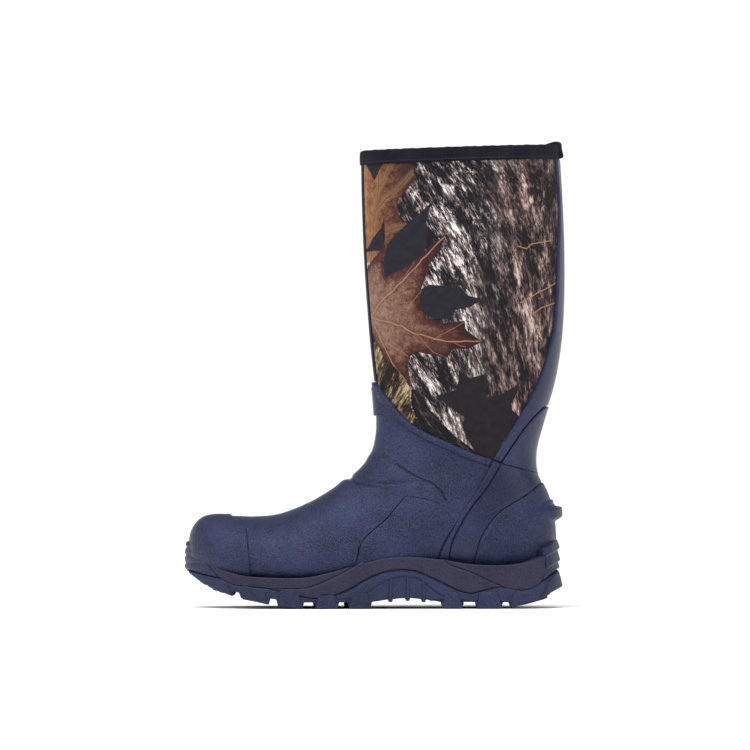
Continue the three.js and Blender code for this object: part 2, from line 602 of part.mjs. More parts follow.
// The lugs under the forefoot and heel, and the ribs across the arch.
function buildTread() {
  const underFloor = between(LUG_FEET, shifted(TREAD_FLOOR, 0, LUG_ROOT).slice(1, -1));
  const [archFrom, archTo] = ARCH;
  const arch = sidePrism(rectangle(archFrom, -FAR, archTo, FAR));
  const lugs = footprint().intersect(sidePrism(underFloor)).intersect(lugColumns()).subtract(arch);
  const underArch = between(shifted(ARCH_FLOOR, 0, -RIB_HEIGHT), shifted(ARCH_FLOOR, 0, LUG_ROOT));
  const ribs = footprint().intersect(sidePrism(underArch)).intersect(ribColumns());
  return lugs.add(ribs);
}

function buildOutsole(block) {
  const top = [...TOE_BUMPER_FOOT, ...MIDSOLE_UNDERSIDE.slice(1, -1), ...HEEL_BUMPER_FOOT];
  const cuts = [top, MIDSOLE_BOTTOM].map(seam);
  const underside = [...TOE_END.slice(1), ...TREAD_FLOOR, ...HEEL_END];
  const body = block.intersect(sidePrism(between(underside, top.slice(1, -2))));
  addPart("outsole", without(body, cuts).add(buildTread()), soleRubber);
  addPart("toe_bumper", without(block.intersect(sidePrism(TOE_BUMPER)), cuts), soleRubber);
  addPart("heel_bumper", without(block.intersect(sidePrism(HEEL_BUMPER)), cuts), soleRubber);
}

// ---------------------------------------------------------------- the boot

buildRubberFoot();
buildShaft();
buildBinding();
buildInside();
buildInsole();
const soleBlock = buildSoleBlock();
buildMidsole(soleBlock);
buildOutsole(soleBlock);

// Puts the origin at the middle of the box, on the ground.
const box = new THREE.Box3().setFromObject(boot);
const middle = box.getCenter(new THREE.Vector3());
for (const part of boot.children) part.position.set(-middle.x, -middle.y, -box.min.z);

export default boot;
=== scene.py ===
"""Insulated hunting boot: the visual model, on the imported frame.

The tables are in millimetres, in the boot's design coordinates. Panels of the upper, of the sole's
wall and of the tread are all made the same way: a smooth sheet of points, a field that gives the
distance to the panel's edge along the sheet, and a height over the sheet that rounds off there.
"""

import math

import bpy
import numpy as np
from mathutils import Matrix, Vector


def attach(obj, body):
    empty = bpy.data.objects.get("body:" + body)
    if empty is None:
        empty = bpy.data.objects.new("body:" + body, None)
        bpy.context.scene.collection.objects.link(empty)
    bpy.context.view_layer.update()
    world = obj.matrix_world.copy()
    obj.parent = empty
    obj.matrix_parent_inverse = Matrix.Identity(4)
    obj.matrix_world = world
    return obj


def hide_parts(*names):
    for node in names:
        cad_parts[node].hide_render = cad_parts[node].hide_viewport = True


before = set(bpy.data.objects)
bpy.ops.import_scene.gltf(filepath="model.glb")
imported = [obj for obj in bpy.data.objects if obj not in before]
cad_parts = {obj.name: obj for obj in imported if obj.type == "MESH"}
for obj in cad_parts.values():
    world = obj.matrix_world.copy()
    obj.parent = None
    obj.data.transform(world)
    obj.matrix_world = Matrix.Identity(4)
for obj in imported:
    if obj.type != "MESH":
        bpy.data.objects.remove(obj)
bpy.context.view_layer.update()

MM = 0.001
ORIGIN = np.array([0.35, 0.15, 0.0])  # the row's origin in design coordinates

# ------------------------------------------------------------------ dimensions

SHELL = 2.3  # outer face of the rubber foot over the neoprene
OVERLAY = 1.5
SPINE = 2.4
SHIN_STRIP = 1.2
PATCH = 2.2
CAVITY_FOOT = 8.6  # inner face of the lining under the neoprene's outer face
CAVITY_SHAFT = 5.8
LINING = 1.4
UNDER = 0.35  # how far a panel's back lies under the face it is laid on
SOLE_DEPTH = 15.0  # how far sole panels run in under the upper
BUMPER_DEPTH = 9.0  # less, because these stand in front of the upper
FAR = 400.0

# One row per ring: front profile x, z; back profile x, z; half width; centre y; squareness of
# the back or bottom half of the ring.
RINGS = np.array([
    (-153, 49, -153, 49, 0, 9, 2.4),
    (-151.3, 62.3, -150.5, 38, 17, 9, 2.4),
    (-145.2, 71.4, -144, 31, 27, 8.5, 2.6),
    (-136, 74.8, -133, 27, 36.5, 7.5, 2.9),
    (-120, 75.0, -117, 24, 43.5, 5.5, 3.1),
    (-100, 74.5, -97, 21.5, 48.5, 3, 3.2),
    (-79.3, 76.8, -74, 20.3, 50.5, 1, 3.2),
    (-53.9, 86.7, -48, 20.5, 49.5, -1.5, 3.2),
    (-30.7, 100.6, -16, 23.5, 46, -2.5, 3.1),
    (-11, 115.3, 24, 28.5, 42.5, -2, 3.0),
    (-0.6, 130.3, 64, 30.5, 40.5, -1, 2.9),
    (2.9, 144, 104, 29, 39, 0, 2.8),
    (3.6, 155, 134, 32.5, 38, 0, 2.6),
    (3.4, 164, 147, 47, 37, 0, 2.4),
    (2.8, 173, 147.8, 70, 36.5, 0, 2.3),
    (1.8, 183, 142.6, 93, 37.5, 0, 2.2),
    (0.4, 195, 134, 112, 39, 0, 2.15),
    (-1.2, 209, 133, 132, 41, 0, 2.1),
    (-2.9, 226, 139.5, 158, 43.5, 0, 2.1),
    (-4.6, 247, 149.3, 190, 46.5, 0, 2.1),
    (-6.5, 273, 155.3, 228, 49.5, 0, 2.1),
    (-8.3, 305, 157.3, 272, 52, 0, 2.1),
    (-9.6, 342, 156.4, 326, 53.5, 0, 2.1),
    (-10.4, 382.2, 152.9, 387.2, 54, 0, 2.1),
], dtype=float)
COLLAR = len(RINGS) - 1
ANKLE_RING = 16  # the insulation ends here and the lining moves out to the wall
LINING_TAPER = 4
TOE_HALF_WIDTH = 40.0
FRONT_SQUARENESS = 2.15
FRONT_NARROWING = 0.12
SKIN_STEP = 1.5
SKIN_SIDES = 290

# ------------------------------------------------------------------ side-view outlines, (x, z)


def smooth(points, steps=4):
    """A Catmull-Rom curve through points, with steps pieces between each two."""
    p = np.array(points, dtype=float)
    before = np.vstack([2 * p[0] - p[1], p, 2 * p[-1] - p[-2]])
    t = (np.arange(steps * (len(p) - 1) + 1) / steps)[:, None]
    i = np.minimum(t.astype(int), len(p) - 2).ravel()
    f = t - i[:, None]
    a, b, c, d = before[i], before[i + 1], before[i + 2], before[i + 3]
    return b + 0.5 * f * (c - a + f * (2 * a - 5 * b + 4 * c - d + f * (3 * (b - c) + d - a)))


def outline(*stretches):
    """One closed outline from stretches of points."""
    return np.vstack([np.array(s, dtype=float).reshape(-1, 2) for s in stretches])


VAMP_EDGE = smooth([
    (-1.3, 192.8), (2.5, 188), (13, 175), (25.9, 159.5), (42.6, 147.9), (60, 140), (79.8, 131.2),
    (98.5, 124.4),
])
SPINE_EDGE = smooth([
    (150.5, 378.5), (153.4, 340), (152.8, 299), (150.2, 242), (146.7, 222.5), (140.3, 200.7),
    (131.3, 180.2), (109.5, 141.5), (98.5, 124.4),
])
LEG_EDGE = smooth([(147.8, 170.5), (141.5, 169.3), (137.8, 166.4), (123.7, 149.9), (105.4, 121.4)])
STRAP_FRONT = smooth([
    (98.5, 124.4), (94.5, 115), (87.4, 102.1), (83.2, 95), (73.9, 81.9), (62, 61.3), (56.4, 51.2),
    (53.2, 42.4), (50, 30),
])
STRAP_BACK = smooth([
    (105.4, 121.4), (94.1, 101.6), (80.6, 84), (70.6, 68), (65, 57), (62.3, 46), (60, 30),
])
COUNTER_TOP = smooth([(105.4, 121.4), (108.5, 120.1), (122.6, 115.9), (132.6, 112.2), (138.2, 104.4)])
COUNTER_BACK = smooth([(138.2, 104.4), (144.4, 100.4), (147.4, 92.5), (152, 86.5)])
COUNTER_FRONT = smooth([
    (138.2, 104.4), (133, 100.8), (124.7, 94), (112, 86), (103.5, 80), (94, 68.5), (87.5, 56.5),
    (83.5, 41.6), (82, 30),
])
TOE_CAP_EDGE = smooth([
    (-124.5, 90), (-122.6, 77.3), (-115.5, 71.5), (-108.2, 67), (-106, 61), (-104.6, 47), (-102.5, 27.5),
])
SIDE_PANEL = smooth([
    (-16, 30), (-14.5, 39), (-12.6, 51), (-6.5, 60.5), (10.5, 75.1), (24.4, 91.6), (30.2, 93.3),
])
SIDE_PANEL_TOP = smooth([(30.2, 93.3), (41, 91.5), (52, 88.2), (66, 82), (73.5, 77)])

MIDSOLE_TOP = smooth([
    (-145.3, 47.5), (-139.5, 38.6), (-122.6, 31.1), (-102.5, 26.9), (-69.7, 26), (-53.8, 26.9),
    (-36.5, 30.7), (-16, 36.5), (-1.7, 40.3), (12.2, 43.2), (26, 43.8), (42, 42.8), (63.8, 40),
    (80.6, 37.4), (98.3, 36.5), (115, 37), (127.7, 39.1), (141.7, 44),
])
MIDSOLE_NOSE = smooth([(-145.3, 47.5), (-140, 37.4), (-128.5, 25.2), (-116.8, 19.7)])
MIDSOLE_UNDERSIDE = smooth([
    (-116.8, 19.7), (-93.2, 17.6), (-79, 15.1), (-58, 10.1), (-47, 9.2), (-36.5, 10.9), (-22.7, 16),
    (-8.7, 24), (5, 30.2), (19.3, 32.8), (29.4, 32.5), (37.8, 30.7), (55.4, 22.7), (68, 16.4),
    (76.4, 13.9), (82.3, 13.4), (93.7, 16.4), (104.2, 18.5), (110.9, 17.3), (123.5, 15.5),
    (131.9, 17.3), (139.1, 21.8),
])
MIDSOLE_BACK = smooth([(139.1, 21.8), (141.7, 28.6), (142.5, 40.3), (141.7, 44)])
SADDLE_FRONT = smooth([
    (-92, 17.7), (-81.5, 16.8), (-58, 17.6), (-46.2, 21), (-35, 26.2), (-23.5, 32), (-10, 40),
])
SADDLE_BACK = smooth([
    (58, 41.5), (63.8, 36.5), (80.6, 30.6), (93.7, 24.4), (105.8, 19.3), (112, 16.5),
])
OUTSOLE_NOSE = smooth([(-156.6, 31.5), (-148, 29.3), (-138, 26.9), (-128.5, 25.2)])
OUTSOLE_TOP = np.vstack([OUTSOLE_NOSE, [(-116.8, 19.7)], MIDSOLE_UNDERSIDE[1:], [(153.4, 32)]])
LUG_FEET = np.array([
    (-156.6, 31), (-154.8, 28.5), (-142.8, 19.2), (-119.3, 10.5), (-87.4, 3.2), (-66, 0), (112, 0),
    (125, 2.6), (141, 8), (156.2, 17.6),
])
TREAD_FLOOR = np.array([
    (-156.6, 31), (-154.8, 28.5), (-142.8, 19.8), (-119.3, 14.5), (-87.4, 8.7), (-66, 5.5), (-4, 5.5),
    (12, 8), (26, 9.2), (40, 8.2), (55, 5.9), (112, 5.5), (125, 7.8), (141, 12), (156.2, 19),
])
HEEL_END = smooth([(156.2, 17.6), (157, 19.5), (155.4, 26), (153.4, 32)], 2)
SIDE_LUGS = [(-113.4, -87.4), (-82.3, -58.8), (-50.4, -29.4), (-22.7, -2), (55.1, 74.8), (84, 107.5),
             (112.6, 148)]
CENTRE_LUGS = [-122, -97, -71, -43, -17, 66, 95, 122]
ARCH_RIBS = [13.4, 27.6, 41]
ARCH = (-3, 54)
TOE_BUMPER_TOP = smooth([(-164, 58.2), (-158, 56.6), (-152.5, 52.2), (-145.3, 47.5)])
HEEL_BUMPER_TOP = smooth([(141.2, 49.4), (146.5, 54), (150.4, 57.4), (154, 58.2), (162, 58.2)])
FOOTPRINT = [
    (-158.5, 9), (-152, 30), (-134, 46), (-106, 54), (-80, 55.5), (-50, 50.5), (-15, 43), (25, 40),
    (65, 41), (105, 43.5), (135, 38.5), (151, 24), (157.5, 0), (151, -24), (135, -38.5), (105, -44),
    (65, -45), (25, -46.5), (-15, -50.5), (-50, -54.5), (-80, -53.5), (-106, -47), (-134, -32),
    (-152, -12),
]

# ------------------------------------------------------------------ sheets


class Sheet:
    """A smooth surface sampled in rows and columns. closed says that the last column is the first."""

    def __init__(self, points, closed=False, inside=None):
        self.points = points
        down = np.gradient(points, axis=0)
        if closed:
            wrapped = np.concatenate([points[:, -2:-1], points, points[:, 1:2]], axis=1)
            across = (wrapped[:, 2:] - wrapped[:, :-2]) / 2
        else:
            across = np.gradient(points, axis=1)
        normals = np.cross(down, across)
        normals /= np.maximum(np.linalg.norm(normals, axis=2, keepdims=True), 1e-9)
        if inside is not None:
            outwards = ((points - inside(points)) * normals).sum(2, keepdims=True)
            normals = np.where(outwards < 0, -normals, normals)
        self.normals = normals

    def at(self, places):
        """Points and normals at row and column places, between the samples."""
        rows, columns = self.points.shape[:2]
        r = np.clip(places[:, 0], 0, rows - 1)
        c = np.clip(places[:, 1], 0, columns - 1)
        i = np.minimum(r.astype(int), rows - 2)
        j = np.minimum(c.astype(int), columns - 2)
        f = (r - i)[:, None]
        g = (c - j)[:, None]

        def mix(table):
            low = table[i, j] * (1 - g) + table[i, j + 1] * g
            high = table[i + 1, j] * (1 - g) + table[i + 1, j + 1] * g
            return low * (1 - f) + high * f

        normals = mix(self.normals)
        return mix(self.points), normals / np.maximum(np.linalg.norm(normals, axis=1, keepdims=True), 1e-9)

    def grid(self):
        """Every sample's place, and the triangles between the samples."""
        rows, columns = self.points.shape[:2]
        places = np.stack(np.meshgrid(np.arange(rows), np.arange(columns), indexing="ij"), axis=2)
        index = np.arange(rows * columns).reshape(rows, columns)
        a, b = index[:-1, :-1].ravel(), index[:-1, 1:].ravel()
        c, d = index[1:, 1:].ravel(), index[1:, :-1].ravel()
        triangles = np.concatenate([np.stack([a, b, c], 1), np.stack([a, c, d], 1)])
        return places.reshape(-1, 2).astype(float), triangles


def ring_rows(u):
    """The ring table's rows at fractional places u."""
    i = np.minimum(u.astype(int), COLLAR - 1)
    f = (u - i)[:, None]
    a, b = RINGS[np.maximum(i - 1, 0)], RINGS[i]
    c, d = RINGS[i + 1], RINGS[np.minimum(i + 2, COLLAR)]
    return b + 0.5 * f * (c - a + f * (2 * a - 5 * b + 4 * c - d + f * (3 * (b - c) + d - a)))


def ring_points(u, shift, sides):
    """Evenly spaced points round the boot at places u in the ring table, moved inwards by shift."""
    rows = ring_rows(u)
    d = ring_rows(np.minimum(u + 0.05, COLLAR)) - ring_rows(np.maximum(u - 0.05, 0))
    ends = []
    for column, side in ((0, 1), (2, -1)):
        dx, dz = d[:, column], d[:, column + 1]
        turn = side * shift / np.maximum(np.hypot(dx, dz), 1e-9)
        ends.append((rows[:, column] + turn * dz, rows[:, column + 1] - turn * dx))
    (fx, fz), (bx, bz) = ends
    width = rows[:, 4] * (1 - shift / np.maximum(rows[:, 4], TOE_HALF_WIDTH))
    angle = np.linspace(0, 2 * np.pi, 721)
    c, s = np.cos(angle), np.sin(angle)
    points = np.empty((len(u), sides + 1, 3))
    for i in range(len(u)):
        power = 2 / np.where(c > 0, FRONT_SQUARENESS, rows[i, 6])
        along = np.sign(c) * np.abs(c) ** power
        across = np.sign(s) * np.abs(s) ** power
        ring = np.stack([
            fx[i] * (0.5 + along / 2) + bx[i] * (0.5 - along / 2),
            rows[i, 5] + width[i] * across * (1 - FRONT_NARROWING * along),
            fz[i] * (0.5 + along / 2) + bz[i] * (0.5 - along / 2),
        ], axis=1)
        length = np.concatenate([[0], np.cumsum(np.linalg.norm(np.diff(ring, axis=0), axis=1))])
        if length[-1] < 1e-6:
            length = np.linspace(0, 1, len(angle))
        even = np.linspace(0, length[-1], sides + 1)
        points[i] = np.stack([np.interp(even, length, ring[:, k]) for k in range(3)], axis=1)
    return points


def skin_sheet(offset=lambda u: 0 * u, step=SKIN_STEP, sides=SKIN_SIDES):
    """The boot's surface, moved inwards by an offset, from the toe to the collar."""
    fine = np.linspace(0, COLLAR, 3000)
    rows = ring_rows(fine)
    move = np.hypot(*np.diff(rows[:, 0:2], axis=0).T), np.hypot(*np.diff(rows[:, 2:4], axis=0).T)
    travel = np.concatenate([[0], np.cumsum(np.maximum(*move))])
    u = np.interp(np.linspace(0, travel[-1], int(travel[-1] / step)), travel, fine)
    points = ring_points(u, offset(u), sides)
    centres = (points[:, 0] + points[:, sides // 2]) / 2
    return Sheet(points, True, lambda p: np.broadcast_to(centres[:, None], p.shape))


def closed_curve(points, count):
    """count + 1 evenly spaced points on a smooth closed curve, the last one on the first."""
    looped = list(points[-2:]) + list(points) + list(points[:3])
    dense = smooth(looped, 24)[2 * 24:-2 * 24]
    length = np.concatenate([[0], np.cumsum(np.linalg.norm(np.diff(dense, axis=0), axis=1))])
    even = np.linspace(0, length[-1], count + 1)
    return np.stack([np.interp(even, length, dense[:, k]) for k in range(2)], axis=1)


def wall_sheet(low=-2.0, high=64.0, step=0.8, count=780):
    """The sole's side wall: the footprint carried up, leaning in at the heel and at the toe's top."""
    edge = closed_curve(FOOTPRINT, count)
    z = np.arange(low, high, step)
    heel = np.interp(z, [18, 31, 58], [0, 3.0, 4.6])[:, None]
    toe = np.interp(z, [46, 60], [0, 1.6])[:, None]
    x = np.broadcast_to(edge[:, 0], (len(z), count + 1))
    x = x - heel * np.clip((x - 105) / 50, 0, 1) ** 2 + toe * np.clip((-120 - x) / 38, 0, 1) ** 2
    y = np.broadcast_to(edge[:, 1], x.shape)
    points = np.stack([x, y, np.broadcast_to(z[:, None], x.shape)], axis=2)
    return Sheet(points, True, lambda p: p * np.array([0.0, 0.0, 1.0]))


def tread_sheet(step=1.2):
    """The underside of the sole between the lugs."""
    x = np.arange(-158, 158, step)
    y = np.arange(-57, 58, step)
    gx, gy = np.meshgrid(x, y, indexing="ij")
    gz = np.interp(gx, TREAD_FLOOR[:, 0], TREAD_FLOOR[:, 1])
    points = np.stack([gx, gy, gz], axis=2)
    return Sheet(points, False, lambda p: p + np.array([0.0, 0.0, 1.0]))


# ------------------------------------------------------------------ fields: distance to an edge, in mm

REACH = 12.0  # distances are only worked out this close to an outline's box


def distance_to(points, edge):
    """Signed distance to a closed outline, positive inside, and the direction from its edge."""
    best = np.full(len(points), np.inf)
    away = np.zeros_like(points)
    inside = np.zeros(len(points), dtype=bool)
    x, y = points.T
    for start, end in zip(edge, np.roll(edge, -1, axis=0)):
        run = end - start
        span = run @ run
        if span < 1e-12:
            continue
        t = np.clip(((points - start) @ run) / span, 0, 1)
        gap = points - start - t[:, None] * run
        distance = (gap ** 2).sum(1)
        closer = distance < best
        best[closer] = distance[closer]
        away[closer] = gap[closer]
        if start[1] != end[1]:
            spans = (start[1] > y) != (end[1] > y)
            inside ^= spans & (x < start[0] + (y - start[1]) * run[0] / run[1])
    best = np.sqrt(best)
    return np.where(inside, best, -best), away / np.maximum(best, 1e-9)[:, None]


def within(edge, axes=(0, 2)):
    """Field of an outline drawn in side view, or in plan with axes (0, 1)."""
    axes = list(axes)
    low, high = edge.min(0) - REACH, edge.max(0) + REACH

    def field(p, n):
        q = p[:, axes]
        close = np.all((q > low) & (q < high), axis=1)
        s = np.full(len(p), -REACH)
        if close.any():
            distance, direction = distance_to(q[close], edge)
            lean = (direction * n[close][:, axes]).sum(1)
            s[close] = distance / np.sqrt(np.maximum(1 - lean ** 2, 0.05))
        return s

    return field


def both(first, *others):
    """Where all of some fields are inside."""
    def field(p, n):
        s = first(p, n)
        for other in others:
            near = s > -1
            s[near] = np.minimum(s[near], other(p[near], n[near]))
        return s
    return field


def outside(field):
    return lambda p, n: -field(p, n)


def narrower(half_width):
    """Field of a strip that runs along the boot's middle."""
    return lambda p, n: (half_width - np.abs(p[:, 1])) / np.sqrt(np.maximum(1 - n[:, 1] ** 2, 0.05))


def side_of(sign):
    """Field of the lateral (-1) or medial (1) half."""
    return lambda p, n: sign * p[:, 1]


def front_half(p, n):
    return 60 - p[:, 0]


def above(height):
    return lambda p, n: p[:, 2] - height


def below(height):
    return lambda p, n: height - p[:, 2]


# ------------------------------------------------------------------ cutting and building panels


def split(places, triangles, s, level):
    """Adds vertices where the triangles' edges cross a level of s."""
    side = np.sign(np.where(np.abs(s - level) < 1e-5, 0, s - level))
    corner = side[triangles]
    crossed = np.stack([corner[:, k] * corner[:, (k + 1) % 3] < 0 for k in range(3)], axis=1)
    count = crossed.sum(1)
    if not count.any():
        return places, triangles
    cut = triangles[count > 0]
    crossed = crossed[count > 0]
    ends = np.sort(np.stack([cut, np.roll(cut, -1, axis=1)], axis=2), axis=2)
    edges, owner = np.unique(ends[crossed], axis=0, return_inverse=True)
    a, b = edges.T
    f = ((level - s[a]) / (s[b] - s[a]))[:, None]
    fresh = places[a] * (1 - f) + places[b] * f
    middle = np.full(cut.shape, -1)
    middle[crossed] = len(places) + owner.ravel()
    pieces = [triangles[count == 0]]
    for k in range(3):
        v = [cut[:, (k + m) % 3] for m in range(3)]
        m0, m1, m2 = [middle[:, (k + m) % 3] for m in range(3)]
        one = (m0 < 0) & (m1 >= 0) & (m2 < 0)
        pieces.append(np.stack([v[0], v[1], m1], 1)[one])
        pieces.append(np.stack([v[0], m1, v[2]], 1)[one])
        two = (m0 >= 0) & (m1 < 0) & (m2 >= 0)
        pieces.append(np.stack([v[0], m0, m2], 1)[two])
        pieces.append(np.stack([m0, v[1], v[2]], 1)[two])
        pieces.append(np.stack([m0, v[2], m2], 1)[two])
    return np.vstack([places, fresh]), np.vstack(pieces)


def compact(places, triangles):
    used, index = np.unique(triangles, return_inverse=True)
    return places[used], index.reshape(-1, 3)


def cut_out(sheet, field, levels):
    """The part of a sheet where the field is over the first level, with edge loops at every level."""
    places, triangles = sheet.grid()
    s = field(*sheet.at(places))
    keep = s[triangles].max(1) > levels[0] - 0.5
    places, triangles = compact(places, triangles[keep])
    for level in levels:
        s = field(*sheet.at(places))
        places, triangles = split(places, triangles, s, level)
    s = field(*sheet.at(places))
    keep = s[triangles].mean(1) > levels[0]
    return compact(places, triangles[keep])


def loose_edges(triangles):
    """The edges that only one triangle has, in its own direction."""
    edges = np.vstack([triangles[:, [0, 1]], triangles[:, [1, 2]], triangles[:, [2, 0]]])
    _, first, counts = np.unique(np.sort(edges, axis=1), axis=0, return_index=True, return_counts=True)
    return edges[first[counts == 1]]


def weld(points, triangles, attributes):
    """Joins vertices in the same place, and drops triangles that have no area left."""
    _, first, index = np.unique(np.round(points, 4), axis=0, return_index=True, return_inverse=True)
    triangles = index.ravel()[triangles]
    a, b, c = triangles.T
    triangles = triangles[(a != b) & (b != c) & (c != a)]
    return points[first], triangles, {name: values[first] for name, values in attributes.items()}


def vertex_normals(points, triangles):
    """Vertex normals weighted by area."""
    p = points[triangles]
    face = np.cross(p[:, 1] - p[:, 0], p[:, 2] - p[:, 0])
    normals = np.zeros_like(points)
    for k in range(3):
        np.add.at(normals, triangles[:, k], face)
    return normals / np.maximum(np.linalg.norm(normals, axis=1, keepdims=True), 1e-12)


def make(name, points, triangles, material, body="boot", attributes=None):
    """A piece of the visual model from points in mm, in place of the CAD node with the same name."""
    points, triangles, attributes = weld(points, triangles, attributes or {})
    mesh = bpy.data.meshes.new(name)
    mesh.vertices.add(len(points))
    mesh.vertices.foreach_set("co", ((points - ORIGIN) * MM).ravel())
    mesh.loops.add(triangles.size)
    mesh.loops.foreach_set("vertex_index", triangles.ravel().astype(np.int32))
    mesh.polygons.add(len(triangles))
    mesh.polygons.foreach_set("loop_start", np.arange(0, triangles.size, 3, dtype=np.int32))
    for key, values in attributes.items():
        kind, field = ("FLOAT_VECTOR", "vector") if values.ndim == 2 else ("FLOAT", "value")
        mesh.attributes.new(key, kind, "POINT").data.foreach_set(field, values.astype(np.float32).ravel())
    mesh.update()
    mesh.validate()
    mesh.shade_smooth()
    mesh.normals_split_custom_set_from_vertices(vertex_normals(points, triangles))
    mesh.materials.append(material)
    piece = bpy.data.objects.new(name, mesh)
    bpy.context.scene.collection.objects.link(piece)
    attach(piece, body)
    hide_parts(name)


EDGE_LEVELS = (0.0, 0.04, 0.18, 0.45, 1.0)


def rounded(s, radius):
    """0 at a panel's edge and 1 from the radius inwards, on a quarter circle."""
    return np.sqrt(1 - (1 - np.clip(s / radius, 0, 1)) ** 2)


def shape(sheet, field, base=0.0, thick=1.0, edge=1.0, deep=UNDER, relief=None, colour=None):
    """A closed panel over a sheet: thick over base with rounded edges, and its back deep under base."""
    places, triangles = cut_out(sheet, field, [edge * level for level in EDGE_LEVELS])
    _, triangles, kept = weld(sheet.at(places)[0], triangles, {"places": places})
    places = kept["places"]
    p, n = sheet.at(places)
    s = field(p, n)
    height = base + thick * rounded(s, edge)
    if relief is not None:
        height = height + relief(p, s)
    top = p + n * height[:, None]
    back = p + n * (base - deep)
    rim = loose_edges(triangles)
    count = len(p)
    skirt = np.vstack([
        np.stack([rim[:, 1], rim[:, 0], rim[:, 0] + count], 1),
        np.stack([rim[:, 1], rim[:, 0] + count, rim[:, 1] + count], 1),
    ])
    faces = np.vstack([triangles, triangles[:, ::-1] + count, skirt])
    a, b, c = top[triangles[:1]].transpose(1, 0, 2)
    if (np.cross(b - a, c - a) * n[triangles[0, 0]]).sum() < 0:
        faces = faces[:, ::-1]
    attributes = {}
    if colour is not None:
        attributes = {key: np.concatenate([v, v]) for key, v in colour(places).items()}
    return np.vstack([top, back]), faces, attributes


def joined(shapes):
    """Several shapes as one, with the attributes of the first."""
    offsets = np.cumsum([0] + [len(points) for points, _, _ in shapes[:-1]])
    points = np.vstack([points for points, _, _ in shapes])
    faces = np.vstack([faces + offset for (_, faces, _), offset in zip(shapes, offsets)])
    names = shapes[0][2].keys()
    return points, faces, {name: np.concatenate([parts[name] for _, _, parts in shapes]) for name in names}


def add(name, shapes, material, body="boot"):
    points, faces, attributes = joined(shapes)
    make(name, points, faces, material, body, attributes)


def round_corners(points, radius, steps=4):
    """A closed outline with each corner replaced by a short curve."""
    p = np.array(points, dtype=float)
    made = []
    for i in range(len(p)):
        before, corner, after = p[i - 1], p[i], p[(i + 1) % len(p)]
        reach = [min(radius, 0.45 * np.linalg.norm(q - corner)) for q in (before, after)]
        a = corner + (before - corner) / np.linalg.norm(before - corner) * reach[0]
        b = corner + (after - corner) / np.linalg.norm(after - corner) * reach[1]
        for t in np.linspace(0, 1, steps):
            made.append(a * (1 - t) ** 2 + 2 * corner * t * (1 - t) + b * t ** 2)
    return np.array(made)


def loft(sections, ends=True):
    """A closed shape through sections, each a closed loop of the same number of points."""
    rows = np.array(sections)
    count, around = rows.shape[:2]
    index = np.arange(count * around).reshape(count, around)
    near, far = index[:-1], index[1:]
    near_next, far_next = np.roll(near, -1, axis=1), np.roll(far, -1, axis=1)
    faces = [
        np.stack([near, far, far_next], 2).reshape(-1, 3),
        np.stack([near, far_next, near_next], 2).reshape(-1, 3),
    ]
    points = rows.reshape(-1, 3)
    if ends:
        middles = np.stack([rows[0].mean(0), rows[-1].mean(0)])
        first, last = len(points), len(points) + 1
        points = np.vstack([points, middles])
        faces.append(np.stack([index[0], np.roll(index[0], -1), np.full(around, first)], 1))
        faces.append(np.stack([np.roll(index[-1], -1), index[-1], np.full(around, last)], 1))
    faces = np.vstack(faces)
    a, b, c = points[faces].transpose(1, 0, 2)
    if (a * np.cross(b, c)).sum() < 0:
        faces = faces[:, ::-1]
    return points, faces, {}


# ------------------------------------------------------------------ materials


